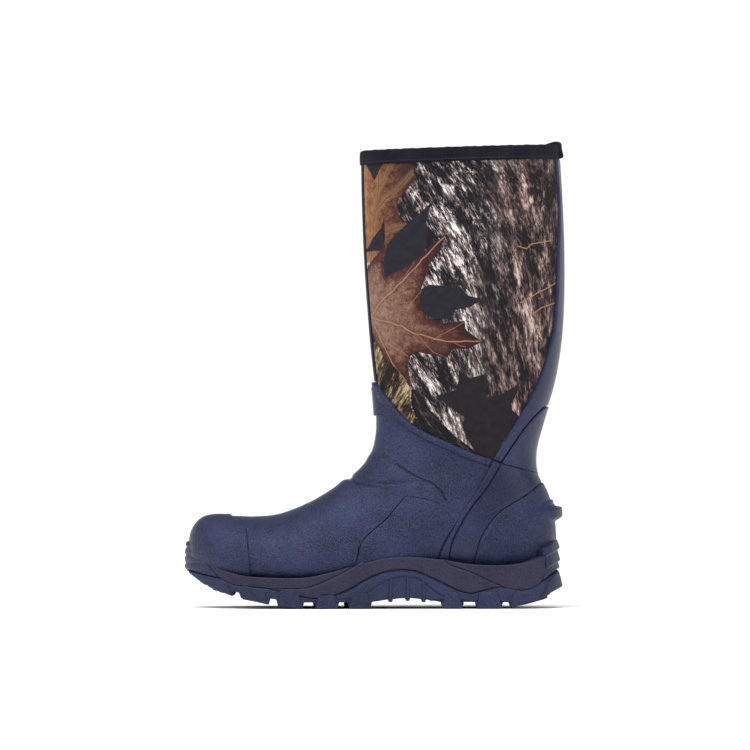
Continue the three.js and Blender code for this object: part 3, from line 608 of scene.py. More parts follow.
class Graph:
    """A short way to write a node tree."""

    def __init__(self, name):
        self.material = bpy.data.materials.new(name)
        self.material.use_nodes = True
        self.tree = self.material.node_tree
        self.shader = self.tree.nodes["Principled BSDF"]

    def node(self, kind, *inputs, out=0, **settings):
        """A node with its inputs set or linked in order. Its output is returned."""
        made = self.tree.nodes.new(kind)
        for key, value in settings.items():
            setattr(made, key, value)
        for socket, value in zip(made.inputs, inputs):
            self.put(socket, value)
        return made.outputs[out]

    def put(self, socket, value):
        if value is None:
            return
        if isinstance(value, bpy.types.NodeSocket):
            self.tree.links.new(value, socket)
        else:
            socket.default_value = value

    def math(self, operation, a, b=None, clamp=False):
        return self.node("ShaderNodeMath", a, b, operation=operation, use_clamp=clamp)

    def total(self, *terms):
        """The sum of (value, factor) pairs."""
        result = 0.0
        for value, factor in terms:
            result = self.node("ShaderNodeMath", value, factor, result, operation="MULTIPLY_ADD")
        return result

    def mix(self, factor, a, b, blend="MIX"):
        made = self.tree.nodes.new("ShaderNodeMix")
        made.data_type = "RGBA"
        made.blend_type = blend
        for socket, value in ((made.inputs[0], factor), (made.inputs[6], a), (made.inputs[7], b)):
            self.put(socket, value)
        return made.outputs[2]

    def steps(self, value, low, high):
        """0 at low, 1 at high, smooth between."""
        return self.node("ShaderNodeMapRange", value, low, high, 0.0, 1.0, interpolation_type="SMOOTHSTEP")

    def scaled(self, value, low, high, to_low, to_high):
        return self.node("ShaderNodeMapRange", value, low, high, to_low, to_high)

    def ramp(self, value, *stops):
        made = self.tree.nodes.new("ShaderNodeValToRGB")
        elements = made.color_ramp.elements
        while len(elements) < len(stops):
            elements.new(0.5)
        for element, (place, colour) in zip(elements, stops):
            element.position = place
            element.color = colour
        self.put(made.inputs[0], value)
        return made.outputs[0]

    def noise(self, where, scale, detail=2.0, roughness=0.5, distortion=0.0):
        made = self.tree.nodes.new("ShaderNodeTexNoise")
        values = {"Vector": where, "Scale": scale, "Detail": detail, "Roughness": roughness,
                  "Distortion": distortion}
        for key, value in values.items():
            self.put(made.inputs[key], value)
        return made.outputs["Fac"]

    def voronoi(self, where, scale):
        made = self.tree.nodes.new("ShaderNodeTexVoronoi")
        for key, value in (("Vector", where), ("Scale", scale)):
            self.put(made.inputs[key], value)
        return made.outputs["Distance"]

    def place(self):
        return self.node("ShaderNodeTexCoord", out=3)

    def parts(self, vector):
        made = self.tree.nodes.new("ShaderNodeSeparateXYZ")
        self.put(made.inputs[0], vector)
        return made.outputs[0], made.outputs[1], made.outputs[2]

    def point(self, x, y, z=0.0):
        return self.node("ShaderNodeCombineXYZ", x, y, z)

    def side_view(self):
        """x and z in mm, in design coordinates."""
        x, _, z = self.parts(self.place())
        return self.point(self.total((x, 1 / MM), (1.0, ORIGIN[0])), self.math("MULTIPLY", z, 1 / MM))

    def attribute(self, name, vector=False):
        made = self.tree.nodes.new("ShaderNodeAttribute")
        made.attribute_name = name
        return made.outputs["Vector" if vector else "Fac"]

    def to_line(self, where, points):
        """Distance from a broken line in a plane."""
        nearest = 1000.0
        for a, b in zip(points[:-1], points[1:]):
            run = (b[0] - a[0], b[1] - a[1], 0.0)
            from_start = self.node("ShaderNodeVectorMath", where, (a[0], a[1], 0.0), operation="SUBTRACT")
            along = self.node("ShaderNodeVectorMath", from_start, run, operation="DOT_PRODUCT", out=1)
            along = self.math("MULTIPLY", along, 1 / (run[0] ** 2 + run[1] ** 2), clamp=True)
            foot = self.node("ShaderNodeVectorMath", run, None, None, along, operation="SCALE")
            gap = self.node("ShaderNodeVectorMath", from_start, foot, operation="SUBTRACT")
            distance = self.node("ShaderNodeVectorMath", gap, operation="LENGTH", out=1)
            nearest = self.math("MINIMUM", distance, nearest)
        return nearest

    def scatter(self, where, scale, reach):
        """An offset in all directions that drifts over the surface, up to about reach."""
        noise = self.node("ShaderNodeTexNoise", where, None, scale, 2.0, 0.5, out=1)
        centred = self.node("ShaderNodeVectorMath", noise, (0.5, 0.5, 0.5), operation="SUBTRACT")
        return self.node("ShaderNodeVectorMath", centred, (2 * reach, 2 * reach, 0.0), operation="MULTIPLY")

    def bump(self, height, strength, distance):
        made = self.tree.nodes.new("ShaderNodeBump")
        for key, value in (("Height", height), ("Strength", strength), ("Distance", distance)):
            self.put(made.inputs[key], value)
        return made.outputs[0]

    def finish(self, colour, roughness, normal=None, specular=0.5, **uniform):
        self.put(self.shader.inputs["Base Color"], colour)
        self.put(self.shader.inputs["Roughness"], roughness)
        self.put(self.shader.inputs["Specular IOR Level"], specular)
        if normal is not None:
            self.put(self.shader.inputs["Normal"], normal)
        for key, value in uniform.items():
            self.put(self.shader.inputs[key.replace("_", " ")], value)
        return self.material


def rgb(r, g, b):
    """A colour from its 0 to 255 display values."""
    shares = [value / 255 for value in (r, g, b)]
    return (*[c / 12.92 if c <= 0.04045 else ((c + 0.055) / 1.055) ** 2.4 for c in shares], 1.0)


COOL_SHEEN = (0.72, 0.8, 1.0, 1.0)


def moulded_rubber(name, dark, light, roughness, grain, depth, specular=0.4, lines=()):
    """Rubber with an orange-peel grain (its light flecks partly painted glints), a slow drift of tone and
    gloss, and fine moulded lines with painted shade.
    """
    g = Graph(name)
    where = g.place()
    drift = g.noise(where, 24.0, 3.0)
    speckle_and_glints = g.noise(where, grain, 2.0, 0.6)
    # The grain's speckle sets the colour as well as the bump: its light flecks are painted glints on top of
    # the rubber's own tone.
    colour = g.ramp(g.total((drift, 0.3), (speckle_and_glints, 0.7)), (0.38, dark), (0.64, light))
    pits = g.voronoi(where, grain)
    height = g.total((speckle_and_glints, 1.0), (pits, 0.5))
    for points in lines:
        groove_with_shade = g.steps(g.to_line(g.side_view(), points), 1.0, 0.15)
        height = g.total((height, 1.0), (groove_with_shade, -1.6))
        # Painted shade: the colour is darkened along each groove.
        colour = g.mix(g.math("MULTIPLY", groove_with_shade, 0.6), colour, rgb(8, 8, 18))
    rough = g.scaled(drift, 0.3, 0.7, roughness - 0.06, roughness + 0.08)
    return g.finish(colour, rough, g.bump(height, 1.0, depth), specular, Specular_Tint=COOL_SHEEN)


# Lines moulded into the foot shell; the rubber's colour is darkened along them as painted shade.
ANKLE_LINE = [(18.5, 121), (32.3, 111.7), (49.6, 104.2), (56, 98), (59.6, 90.7)]
PANEL_LINE = [(-14.5, 40), (-12.6, 51), (-6.5, 60.5), (10.5, 75.1), (24.4, 91.6), (30.2, 93.3), (41, 91.5),
              (52, 88.2)]
NAVY_LOOK = (rgb(1, 3, 15), rgb(42, 48, 84), 0.34, 950.0, 0.0007, 0.3)

NAVY = moulded_rubber("navy_rubber", *NAVY_LOOK)
LINED_NAVY = moulded_rubber("lined_navy_rubber", *NAVY_LOOK, lines=[ANKLE_LINE, PANEL_LINE])
# Lighter than the plain navy: partly a finer grain, partly a painted highlight on the heel strap, heel
# quarter, tendon panel and back spine.
SMOOTH_NAVY_LIGHTENED = moulded_rubber("smooth_navy_rubber_painted_light", rgb(8, 10, 26), rgb(42, 44, 76), 0.34, 1200.0, 0.0003, 0.3)
STRIP_NAVY = moulded_rubber("strip_rubber", rgb(2, 3, 12), rgb(16, 18, 34), 0.55, 900.0, 0.0004, 0.2)
SOLE = moulded_rubber("sole_rubber", rgb(4, 7, 24), rgb(36, 41, 74), 0.46, 1000.0, 0.0005, 0.35)
MIDSOLE = moulded_rubber("midsole_foam", rgb(18, 15, 30), rgb(46, 41, 62), 0.6, 1100.0, 0.0003, 0.3)


def knit(name, dark, light, pitch, depth, roughness=0.85):
    """A tape or jersey of fine ribs, from the along and down attributes in mm."""
    g = Graph(name)
    along, down = g.attribute("along"), g.attribute("down")
    ribs = g.math("SINE", g.math("MULTIPLY", along, 2 * math.pi / pitch))
    loops = g.math("SINE", g.total((down, 2 * math.pi / (pitch * 0.8)), (ribs, 0.8)))
    fuzz = g.noise(g.place(), 2600.0, 2.0, 0.7)
    height = g.total((ribs, 0.3), (loops, 0.25), (fuzz, 0.8))
    tone = g.total((height, 0.4), (g.noise(g.place(), 60.0, 2.0), 0.6))
    return g, g.ramp(tone, (0.25, dark), (0.75, light)), g.bump(height, 0.8, depth), roughness


def binding_material():
    g, colour, normal, roughness = knit("binding_knit", rgb(5, 4, 9), rgb(28, 25, 38), 1.1, 0.0004)
    along, down = g.attribute("along"), g.attribute("down")
    row = g.steps(g.math("ABSOLUTE", g.math("SUBTRACT", down, 8.2)), 0.55, 0.2)
    gaps = g.steps(g.math("SINE", g.math("MULTIPLY", along, 2 * math.pi / 2.8)), -0.6, 0.0)
    thread = g.math("MULTIPLY", row, gaps)
    return g.finish(g.mix(thread, colour, rgb(42, 40, 56)), roughness, normal, 0.15)


def fleece_material():
    g = Graph("fleece_pile")
    where = g.place()
    tufts = g.voronoi(where, 420.0)
    hair = g.noise(where, 1900.0, 3.0, 0.7)
    height = g.total((tufts, -1.0), (hair, 0.5))
    tone = g.total((tufts, 0.4), (hair, 0.4), (g.noise(where, 30.0, 2.0), 0.4))
    colour = g.ramp(tone, (0.3, rgb(64, 63, 68)), (0.8, rgb(38, 37, 42)))
    return g.finish(colour, 0.95, g.bump(height, 1.0, 0.0012), 0.1, Sheen_Weight=0.1)


def foam_material():
    g = Graph("footbed_foam_cells")
    where = g.place()
    cells = g.voronoi(where, 900.0)
    tone = g.total((cells, 0.6), (g.noise(where, 40.0, 2.0), 0.4))
    colour = g.ramp(tone, (0.2, rgb(38, 46, 58)), (0.8, rgb(58, 68, 82)))
    return g.finish(colour, 0.8, g.bump(cells, 0.6, 0.0003), 0.3)


def footbed_knit_material():
    g = Graph("footbed_knit_cloth")
    x, y, _ = g.parts(g.place())
    ribs = g.math("SINE", g.math("MULTIPLY", g.total((x, 1.0), (y, 0.5)), 2 * math.pi / 0.0016))
    rows = g.math("SINE", g.math("MULTIPLY", g.total((x, -0.5), (y, 1.0)), 2 * math.pi / 0.0016))
    weave = g.math("MULTIPLY", ribs, rows)
    fuzz = g.noise(g.place(), 2400.0, 2.0, 0.7)
    tone = g.total((weave, 0.15), (fuzz, 0.6), (g.noise(g.place(), 35.0, 2.0), 0.5))
    colour = g.ramp(tone, (0.3, rgb(74, 78, 86)), (0.8, rgb(122, 126, 134)))
    return g.finish(colour, 0.9, g.bump(g.total((weave, 0.4), (fuzz, 0.6)), 0.8, 0.0004), 0.2)


# ------------------------------------------------------------------ woodland print
# Outlines in side view. A first or last point under x = -10 lies past the shin.

GOLDEN_LEAF = [
    (-16, 384), (31, 384), (33, 363), (34, 359), (28, 351), (20, 343), (19, 336), (21, 326), (28, 319),
    (11, 306), (9, 292), (-16, 288),
]
RED_LEAF = [
    (59.6, 312.5), (54.6, 299), (46, 289), (42, 275.5), (38, 265), (38, 252), (44, 244), (58, 239),
    (75.6, 241), (76, 233.5), (90, 223), (78, 217.5), (65, 217), (61, 210), (51, 212), (34, 215), (29, 210),
    (28, 203), (31, 183), (19, 200), (8, 210), (1, 225), (-5, 240), (-16, 252), (-16, 286), (-6, 285),
    (2, 296), (10, 306), (7, 292), (9, 277), (26, 286), (43, 299), (46, 304),
]
DARK_LEAVES = [
    [(48.7, 341), (40, 333), (28, 323), (11, 306), (7, 292), (8, 276), (24, 282), (38, 292), (44, 304),
     (42.5, 319), (45, 331)],
    [(-9, 384), (9, 384), (8, 374), (4, 367), (0, 358), (-4, 366), (-7, 372)],
    [(8, 327), (5, 318), (-1, 311), (-5, 303), (-8, 298), (7, 300), (9, 310)],
    [(37, 259), (40, 268), (46, 271), (60, 270), (70, 270), (78, 262), (90, 259), (80, 252), (68, 250),
     (65, 244), (53, 242), (44, 245), (38, 252)],
]
STAR_LEAF = [
    (70, 200), (80, 193), (93, 196.5), (93, 176), (107, 180), (122, 189), (118, 178), (113, 168), (122, 160),
    (110, 144.5), (97, 120), (83, 132), (73, 151), (75, 160), (61, 170), (51, 178), (68, 183), (70, 191.5),
]
LICHEN = [
    (-16, 230), (1, 226), (8, 210), (19, 200), (27, 190), (31, 183), (30, 172), (34, 162), (48, 148),
    (40, 130), (10, 150), (-16, 190),
]
DARK_BARK = [
    (31, 184), (36, 184), (44, 170), (56, 156), (68, 144), (90, 128), (84, 115), (55, 130), (40, 148),
    (33, 163), (30, 172),
]
RED_VEINS = [
    [(-3, 245), (21, 237), (50, 225), (90, 223)],
    [(-3, 245), (24, 274), (59.6, 312.5)],
    [(-3, 245), (4, 228.5), (14, 207), (31, 183)],
]
RED_SIDE_VEINS = [
    [(50, 225), (60, 232), (75, 240)], [(35, 231), (48, 215), (60, 211)], [(21, 237), (31, 256), (41, 268)],
    [(9, 258), (28, 266)], [(24, 274), (33, 291)], [(14, 266), (2, 284)], [(4, 228), (20, 216), (28, 211)],
    [(64, 224), (76, 219)], [(8, 218), (2, 226)],
]
GOLDEN_VEINS = [
    [(-3, 290), (0, 329), (4, 356), (0, 384)], [(1, 333), (16, 349), (33, 366)], [(2, 312), (24, 320)],
    [(3, 350), (14, 371)], [(-1, 320), (-9, 340)],
]
TWIGS = [
    [(120, 303), (127, 301), (131, 305), (147, 308)], [(122, 256), (136, 264), (152, 273)],
    [(128, 244), (140, 252), (151, 256)],
]


def unrolled(points):
    """Side-view points laid out flat round the shaft: distance round it from its middle, and height."""
    p = np.array(points, dtype=float)
    front, back = SKIN.points[:, 0], SKIN.points[:, SKIN_SIDES // 2]
    widest = SKIN.points[:, SKIN_SIDES // 4]
    shin = front[:, 2] > 100
    low = np.interp(p[:, 1], front[shin, 2], front[shin, 0])
    heel = back[:, 0] > 120
    high = np.interp(p[:, 1], back[heel, 2], back[heel, 0])
    leg = widest[:, 2] > 90
    width = np.interp(p[:, 1], widest[leg, 2], widest[leg, 1])
    middle, reach = (low + high) / 2, (high - low) / 2
    t = (p[:, 0] - middle) / reach
    turn = np.arcsin(np.clip(np.abs(t), 0, 1))[:, None] * (np.arange(24) + 0.5) / 24
    pace = np.hypot(reach[:, None] * np.cos(turn), width[:, None] * np.sin(turn))
    arc = pace.mean(1) * np.arcsin(np.clip(np.abs(t), 0, 1)) + np.maximum(np.abs(t) - 1, 0) * reach
    return np.stack([middle + np.sign(t) * arc, p[:, 1]], axis=1)


def print_fields(places):
    """Attributes of the print at places on the skin."""
    p, _ = SKIN.at(places)
    flat = unrolled(p[:, [0, 2]])
    spot = np.column_stack([flat, np.zeros(len(flat))])

    def inside(points):
        return within(unrolled(points), (0, 1))(spot, np.zeros_like(spot))

    return {
        "print": spot,
        "golden_leaf": inside(GOLDEN_LEAF),
        "red_leaf": inside(RED_LEAF),
        "dark_leaves": np.max([inside(leaf) for leaf in DARK_LEAVES], axis=0),
        "star_leaf": inside(STAR_LEAF),
        "lichen": inside(LICHEN),
        "dark_bark": inside(DARK_BARK),
    }


def bark(g, u, v, lean, size, *stops):
    """Streaks and cracks that lean over by lean mm for each mm of height."""
    across = g.node("ShaderNodeMath", g.math("SUBTRACT", v, 300.0), lean, u, operation="MULTIPLY_ADD")

    def streaks(width, length, seed, detail, distortion):
        x = g.math("MULTIPLY", across, 1 / (width * size))
        y = g.math("MULTIPLY", v, 1 / (length * size))
        return g.noise(g.point(x, y, seed), 1.0, detail, 0.7, distortion)

    fine = streaks(1.6, 5.0, 0.0, 5.0, 0.6)
    plates = streaks(6.5, 20.0, 7.0, 3.0, 0.4)
    bands = streaks(24.0, 90.0, 5.0, 2.0, 0.2)
    split = streaks(5.0, 28.0, 11.0, 3.0, 0.5)
    crack = g.steps(g.math("ABSOLUTE", g.math("SUBTRACT", split, 0.5)), 0.034, 0.004)
    tone = g.total((fine, 0.8), (plates, 0.9), (bands, 0.75), (crack, -0.17), (1.0, -0.7))
    return g.ramp(tone, *stops)


def veins(g, where, lines, width, softness):
    """1 on thin lines, 0 away from them."""
    nearest = 1000.0
    for line in lines:
        nearest = g.math("MINIMUM", g.to_line(where, [tuple(p) for p in unrolled(line)]), nearest)
    return g.steps(nearest, width + softness, width * 0.4), g.steps(nearest, 5.0, 0.5)


def printed_neoprene():
    g = Graph("printed_neoprene")
    where = g.attribute("print", True)
    u, v, _ = g.parts(where)
    ragged = g.noise(where, 0.45, 3.0, 0.6)
    mottle = g.noise(where, 0.16, 4.0, 0.65)
    lean = g.node("ShaderNodeMapRange", u, 55.0, 160.0, 0.52, 0.1)
    where_bent = g.node("ShaderNodeVectorMath", where, g.scatter(where, 0.07, 2.4), operation="ADD")

    silver = bark(
        g, u, v, lean, 1.0, (0.44, rgb(14, 12, 17)), (0.5, rgb(46, 40, 44)), (0.57, rgb(98, 86, 86)),
        (0.63, rgb(152, 140, 137)), (0.7, rgb(220, 212, 208)))
    brown = bark(
        g, u, v, lean, 1.15, (0.42, rgb(18, 13, 17)), (0.5, rgb(50, 39, 41)), (0.58, rgb(90, 71, 67)),
        (0.66, rgb(128, 106, 98)), (0.76, rgb(190, 170, 158)))
    browner = g.steps(g.total((u, 1.0), (mottle, 60.0), (v, -0.1)), 72.0, 122.0)
    colour = g.mix(browner, silver, brown)

    twig, _ = veins(g, where, TWIGS, 0.35, 0.35)
    colour = g.mix(twig, colour, rgb(140, 110, 64))

    def mask(name, wobble=1.2):
        return g.steps(g.total((g.attribute(name), 1.0), (ragged, wobble), (1.0, -wobble / 2)), -0.25, 0.35)

    grass = bark(
        g, u, v, -0.6, 0.9, (0.44, rgb(26, 20, 20)), (0.54, rgb(74, 58, 46)), (0.62, rgb(120, 100, 70)),
        (0.72, rgb(176, 160, 124)))
    colour = g.mix(mask("lichen", 5.0), colour, grass)
    soil = bark(
        g, u, v, 0.7, 1.0, (0.46, rgb(14, 12, 17)), (0.62, rgb(38, 31, 33)), (0.74, rgb(96, 82, 72)))
    colour = g.mix(mask("dark_bark", 4.0), colour, soil)
    shadow = g.ramp(mottle, (0.3, rgb(20, 15, 20)), (0.7, rgb(31, 25, 31)))
    colour = g.mix(mask("star_leaf", 1.6), colour, shadow)

    golden = g.total((u, 0.013), (mottle, 1.1), (g.noise(where, 0.7, 3.0, 0.7), 0.9), (1.0, -0.3))
    golden = g.ramp(golden, (0.25, rgb(150, 106, 72)), (0.55, rgb(116, 76, 50)), (0.85, rgb(78, 46, 34)),
                    (1.0, rgb(50, 30, 26)))
    line, near = veins(g, where_bent, GOLDEN_VEINS, 0.25, 0.5)
    golden = g.mix(g.math("MULTIPLY", near, 0.35), golden, rgb(146, 112, 80))
    golden = g.mix(g.math("MULTIPLY", line, 0.7), golden, rgb(74, 40, 28))
    colour = g.mix(mask("golden_leaf"), colour, golden)

    shade = g.ramp(mottle, (0.3, rgb(22, 20, 28)), (0.7, rgb(33, 30, 40)))
    colour = g.mix(mask("dark_leaves", 1.4), colour, shade)

    centre = tuple(unrolled([(-3, 245)])[0])
    from_base = g.node("ShaderNodeVectorMath", where, (*centre, 0.0), operation="DISTANCE", out=1)
    from_edge = g.steps(g.attribute("red_leaf"), 9.0, 0.0)
    grain = g.noise(where, 1.1, 3.0, 0.7)
    spots = g.total((mottle, 0.9), (ragged, 0.5), (grain, 0.9))
    age = g.total((from_base, 0.0062), (from_edge, 0.3), (spots, 1.0), (1.0, -1.0))
    red = g.ramp(age, (0.1, rgb(136, 112, 98)), (0.36, rgb(112, 82, 68)), (0.58, rgb(82, 48, 39)),
                 (0.85, rgb(52, 25, 24)), (1.0, rgb(38, 20, 20)))
    main, near = veins(g, where_bent, RED_VEINS, 0.35, 0.45)
    side, _ = veins(g, where_bent, RED_SIDE_VEINS, 0.15, 0.4)
    red = g.mix(g.math("MULTIPLY", near, 0.3), red, rgb(60, 28, 26))
    red = g.mix(g.math("MULTIPLY", side, 0.55), red, rgb(140, 104, 84))
    red = g.mix(g.math("MULTIPLY", main, 0.75), red, rgb(158, 120, 96))
    rim = g.steps(g.math("ABSOLUTE", g.attribute("red_leaf")), 0.9, 0.2)
    red = g.mix(g.math("MULTIPLY", rim, 0.5), red, rgb(44, 22, 22))
    colour = g.mix(mask("red_leaf", 0.8), colour, red)

    warp = g.math("SINE", g.math("MULTIPLY", u, 2 * math.pi / 0.9))
    weft = g.math("SINE", g.math("MULTIPLY", v, 2 * math.pi / 0.7))
    weave = g.total((warp, 0.25), (weft, 0.25), (g.noise(where, 2.4, 2.0, 0.7), 0.8))
    threads = g.ramp(weave, (0.0, rgb(60, 60, 60)), (0.8, rgb(200, 200, 200)))
    colour = g.mix(0.16, colour, threads, "OVERLAY")
    return g.finish(colour, 0.82, g.bump(weave, 0.5, 0.0004), 0.2)


# ------------------------------------------------------------------ upper

SKIN = skin_sheet()
RUBBER_FOOT = outline([(-FAR, -50), (FAR, -50), (FAR, 170.5)], LEG_EDGE, VAMP_EDGE[::-1], [(-FAR, 192.8)])
rubber_foot = within(RUBBER_FOOT)
SIDES = (("lateral", -1), ("medial", 1))

CREASE = np.array([(-26, 110.5), (-12.6, 105), (6.7, 102.8), (23.5, 103.7), (36, 106)])
FOLD = np.array([(4, 127), (18, 118), (30, 112)])


def valley(line, depth, width, swell=0.0):
    """A soft crease along a side-view line, with a swelling below it."""
    def height(p, s):
        q = p[:, [0, 2]]
        near = np.abs(q - line.mean(0)).max(1) < 60
        result = np.zeros(len(p))
        spot = q[near]
        closed = np.vstack([line, line[::-1] + (0, 1e-3)])
        distance = np.abs(distance_to(spot, closed)[0])
        under = spot[:, 1] < np.interp(spot[:, 0], line[:, 0], line[:, 1])
        fade = np.clip((line[-1, 0] + 6 - spot[:, 0]) / 22, 0, 1)
        result[near] = -depth * fade * np.exp(-(distance / width) ** 2)
        result[near] += swell * fade * under * np.exp(-((distance - 2.5 * width) / (1.8 * width)) ** 2)
        return result
    return height


def foot_creases(p, s):
    main = valley(CREASE, 2.0, 2.4, 0.8)
    fold = valley(FOLD, 0.6, 2.4, 0.4)
    return main(p, s) + fold(p, s)


def on_shell(name, edges, material=NAVY, thick=OVERLAY, edge=1.3, sides=None, **kwargs):
    """An overlay on the rubber foot, or one on each side where it doesn't cross the middle."""
    field = both(within(edges), rubber_foot)
    for side, sign in sides or ():
        half = both(field, side_of(sign))
        add(f"{side}_{name}", [shape(SKIN, half, SHELL, thick, edge, **kwargs)], material)
    if not sides:
        add(name, [shape(SKIN, field, SHELL, thick, edge, **kwargs)], material)


def build_rubber_foot():
    add("foot_shell", [shape(SKIN, rubber_foot, 0.0, SHELL, 1.5, relief=foot_creases)], LINED_NAVY)
    on_shell("toe_cap", outline([(-FAR, 20), (-102.5, 20)], TOE_CAP_EDGE[::-1], [(-FAR, 100)]), edge=1.6)
    side_panel = outline(SIDE_PANEL, SIDE_PANEL_TOP[1:], STRAP_FRONT[20:] - (0.5, 0))
    on_shell("side_panel", side_panel, thick=1.4, edge=1.8, sides=SIDES)

    def bead(p, s):
        return 0.8 * np.exp(-((s - 1.5) / 0.9) ** 2)

    strap = outline(STRAP_FRONT, STRAP_BACK[::-1])
    on_shell("heel_strap", strap, SMOOTH_NAVY_LIGHTENED, 1.9, 2.0, sides=SIDES, relief=bead)
    quarter = outline(COUNTER_TOP, COUNTER_FRONT[1:], STRAP_BACK[::-1])
    on_shell("heel_quarter", quarter, SMOOTH_NAVY_LIGHTENED, 1.2, 1.2, sides=SIDES)
    tendon = outline([(FAR, 170.5)], LEG_EDGE, COUNTER_TOP[1:], COUNTER_BACK[1:], [(FAR, 86)])
    on_shell("tendon_panel", tendon, SMOOTH_NAVY_LIGHTENED, 1.2, 1.4)
    counter = outline(COUNTER_BACK, [(FAR, 86), (FAR, 30)], COUNTER_FRONT[::-1])
    on_shell("heel_counter", counter, NAVY, 2.0, 1.8)
    lower = VAMP_EDGE - (2.7, 5.3)
    band = outline([(-FAR, 192.8)], VAMP_EDGE, [(92, 112)], lower[::-1], [(-FAR, 187.5)])
    on_shell("vamp_edge_band", band, NAVY, 1.5, 2.0)
    patch = both(narrower(15.0), above(161.2), below(186.0), front_half)

    def fade(p, s):
        return -PATCH * rounded(s, 1.2) * np.clip((np.abs(p[:, 1]) - 5) / 10, 0, 1) ** 1.5

    add("front_ankle_patch", [shape(SKIN, patch, SHELL, PATCH, 1.2, relief=fade)], NAVY)


# The kick ledge's section: distance out from the heel, and height over its middle line.
KICK_LUG = [(-5, 14), (-0.2, 13), (0.4, 10), (1.8, 7.9), (8.2, 6.6), (8.6, -1.2), (6.0, -3.4), (2.4, -5.4),
            (0.6, -9), (-0.4, -13), (-5, -13)]


def build_kick_lug():
    """A ledge round the back of the heel that thins out to both sides."""
    section = round_corners(KICK_LUG, 1.0)
    sections = []
    back = SKIN_SIDES // 2
    up = SKIN.points[:, back, 0] > 125
    for column in range(back - 27, back + 28):
        heights = SKIN.points[:, column, 2]
        row = np.interp(78.0, heights[up], np.flatnonzero(up))
        (base,), (normal,) = SKIN.at(np.array([(row, column)], dtype=float))
        outwards = normal * (1, 1, 0) / np.hypot(*normal[:2])
        share = float(np.clip((base[0] - 131) / 17, 0, 1)) ** 0.8
        out = section[:, 0] * np.where(section[:, 0] > 0, 0.1 + 0.9 * share, 1.0)
        reach = SHELL + OVERLAY - 0.4 + out
        height = 78.5 - 5.0 * (1 - share) + section[:, 1] * (0.72 + 0.28 * share)
        sections.append(base * (1, 1, 0) + outwards * reach[:, None] + np.outer(height, (0, 0, 1)))
    add("kick_lug", [loft(sections)], NAVY)


def under_tape(p, n):
    """Field of everything below the lower edge of the binding."""
    return np.interp(p[:, 0], RINGS[COLLAR, [0, 2]], RINGS[COLLAR, [1, 3]]) - 9.8 - p[:, 2]


def build_shaft():
    low_edge = outline(LEG_EDGE - (-1, 4), VAMP_EDGE[::-1] - (3, 5))
    foot = within(outline([(-FAR, -50), (FAR, -50), (FAR, 165)], low_edge, [(-FAR, 187)]))
    material = printed_neoprene()
    for side, sign in SIDES:
        half = both(outside(foot), side_of(sign), above(100))
        panel = shape(SKIN, half, 0.0, 0.0, 1.0, deep=4.0, colour=print_fields)
        add(f"{side}_shaft_panel", [panel], material)
    behind = outline(SPINE_EDGE, LEG_EDGE[::-1], [(FAR, 170.5), (FAR, 420), (150, 420)])
    add("back_spine", [shape(SKIN, both(within(behind), under_tape), 0.0, SPINE, 1.8)], SMOOTH_NAVY_LIGHTENED)
    shin = both(narrower(9.0), above(190), under_tape, front_half)
    add("front_shin_strip", [shape(SKIN, shin, 0.0, SHIN_STRIP, 1.2)], STRIP_NAVY)


# The tape's section round the rim: distance out from the wall's face, and height over the rim.
BINDING = [(1.4, -10.6), (2.0, -9.4), (2.2, -5), (2.0, -1), (1.2, 0.9), (-2.6, 1.8), (-6.4, 0.9), (-7.4, -1),
           (-7.6, -9.6), (-7, -10.6), (-4.5, -10.2), (-1, -10.2)]
# The tab at the back in side view. Its ends are pulled in to round it off.
SEAM_TAB = [(143, 389), (147, 390.4), (151, 391.7), (155, 391.6), (157, 389.8), (157.2, 385), (158.7, 380.4),
            (158.2, 378), (155, 377), (151, 379), (146, 385)]


def build_binding():
    count = 420
    section = closed_curve(BINDING, 44)[:-1]
    rims = {}
    for offset in np.unique(np.round(section[:, 0], 3)):
        rims[offset] = ring_points(np.array([float(COLLAR)]), np.array([-offset]), count)[0]
    sections, along, down = [], [], []
    rim = rims[np.round(section[0, 0], 3)]
    length = np.concatenate([[0], np.cumsum(np.linalg.norm(np.diff(rim, axis=0), axis=1))])
    for j in range(count):
        ripple = 0.12 * math.sin(j * 0.37) + 0.1 * math.sin(j * 0.83)
        loop = [rims[np.round(o, 3)][j] + (0, 0, h + (ripple if o > 1 or h > 0 else 0)) for o, h in section]
        sections.append(loop)
        along.append(np.full(len(section), length[j]))
        down.append(-section[:, 1])
    sections.append(sections[0])
    along.append(np.full(len(section), length[-1]))
    down.append(down[0])
    points, faces, _ = loft(sections, ends=False)
    colour = {"along": np.concatenate(along), "down": np.concatenate(down)}
    material = binding_material()
    make("collar_binding", points, faces, material, attributes=colour)

    profile = round_corners(SEAM_TAB, 1.0, 3)
    middle = profile.mean(0)
    sections = []
    for y in np.linspace(-6.2, 6.2, 17):
        size = 1 - 0.16 * (abs(y) / 6.2) ** 6
        lumps = 0.25 * np.sin(1.7 * y + profile[:, 1] * 1.3) + 0.18 * np.sin(2.9 * y + profile[:, 0] * 1.1)
        flat = middle + (profile - middle) * size
        x = flat[:, 0] - y * y / 60 + lumps
        sections.append(np.stack([x, np.full(len(flat), y), flat[:, 1]], axis=1))
    points, faces, _ = loft(sections)
    colour = {"along": points[:, 1], "down": 389 - points[:, 2]}
    make("binding_seam_tab", points, faces, material, attributes=colour)


def cavity(u):
    """How far the lining's inner face is from the skin: more in the foot than in the shaft."""
    t = np.clip((u - ANKLE_RING) / LINING_TAPER, 0, 1)
    return CAVITY_FOOT + (CAVITY_SHAFT - CAVITY_FOOT) * t * t * (3 - 2 * t)


FOOTBED_FLOOR = smooth([
    (-170, 42), (-133, 27), (-117, 24), (-97, 21.5), (-74, 20.3), (-48, 20.5), (-16, 23.5), (24, 28.5),
    (64, 30.5), (104, 29), (160, 33),
], 8)


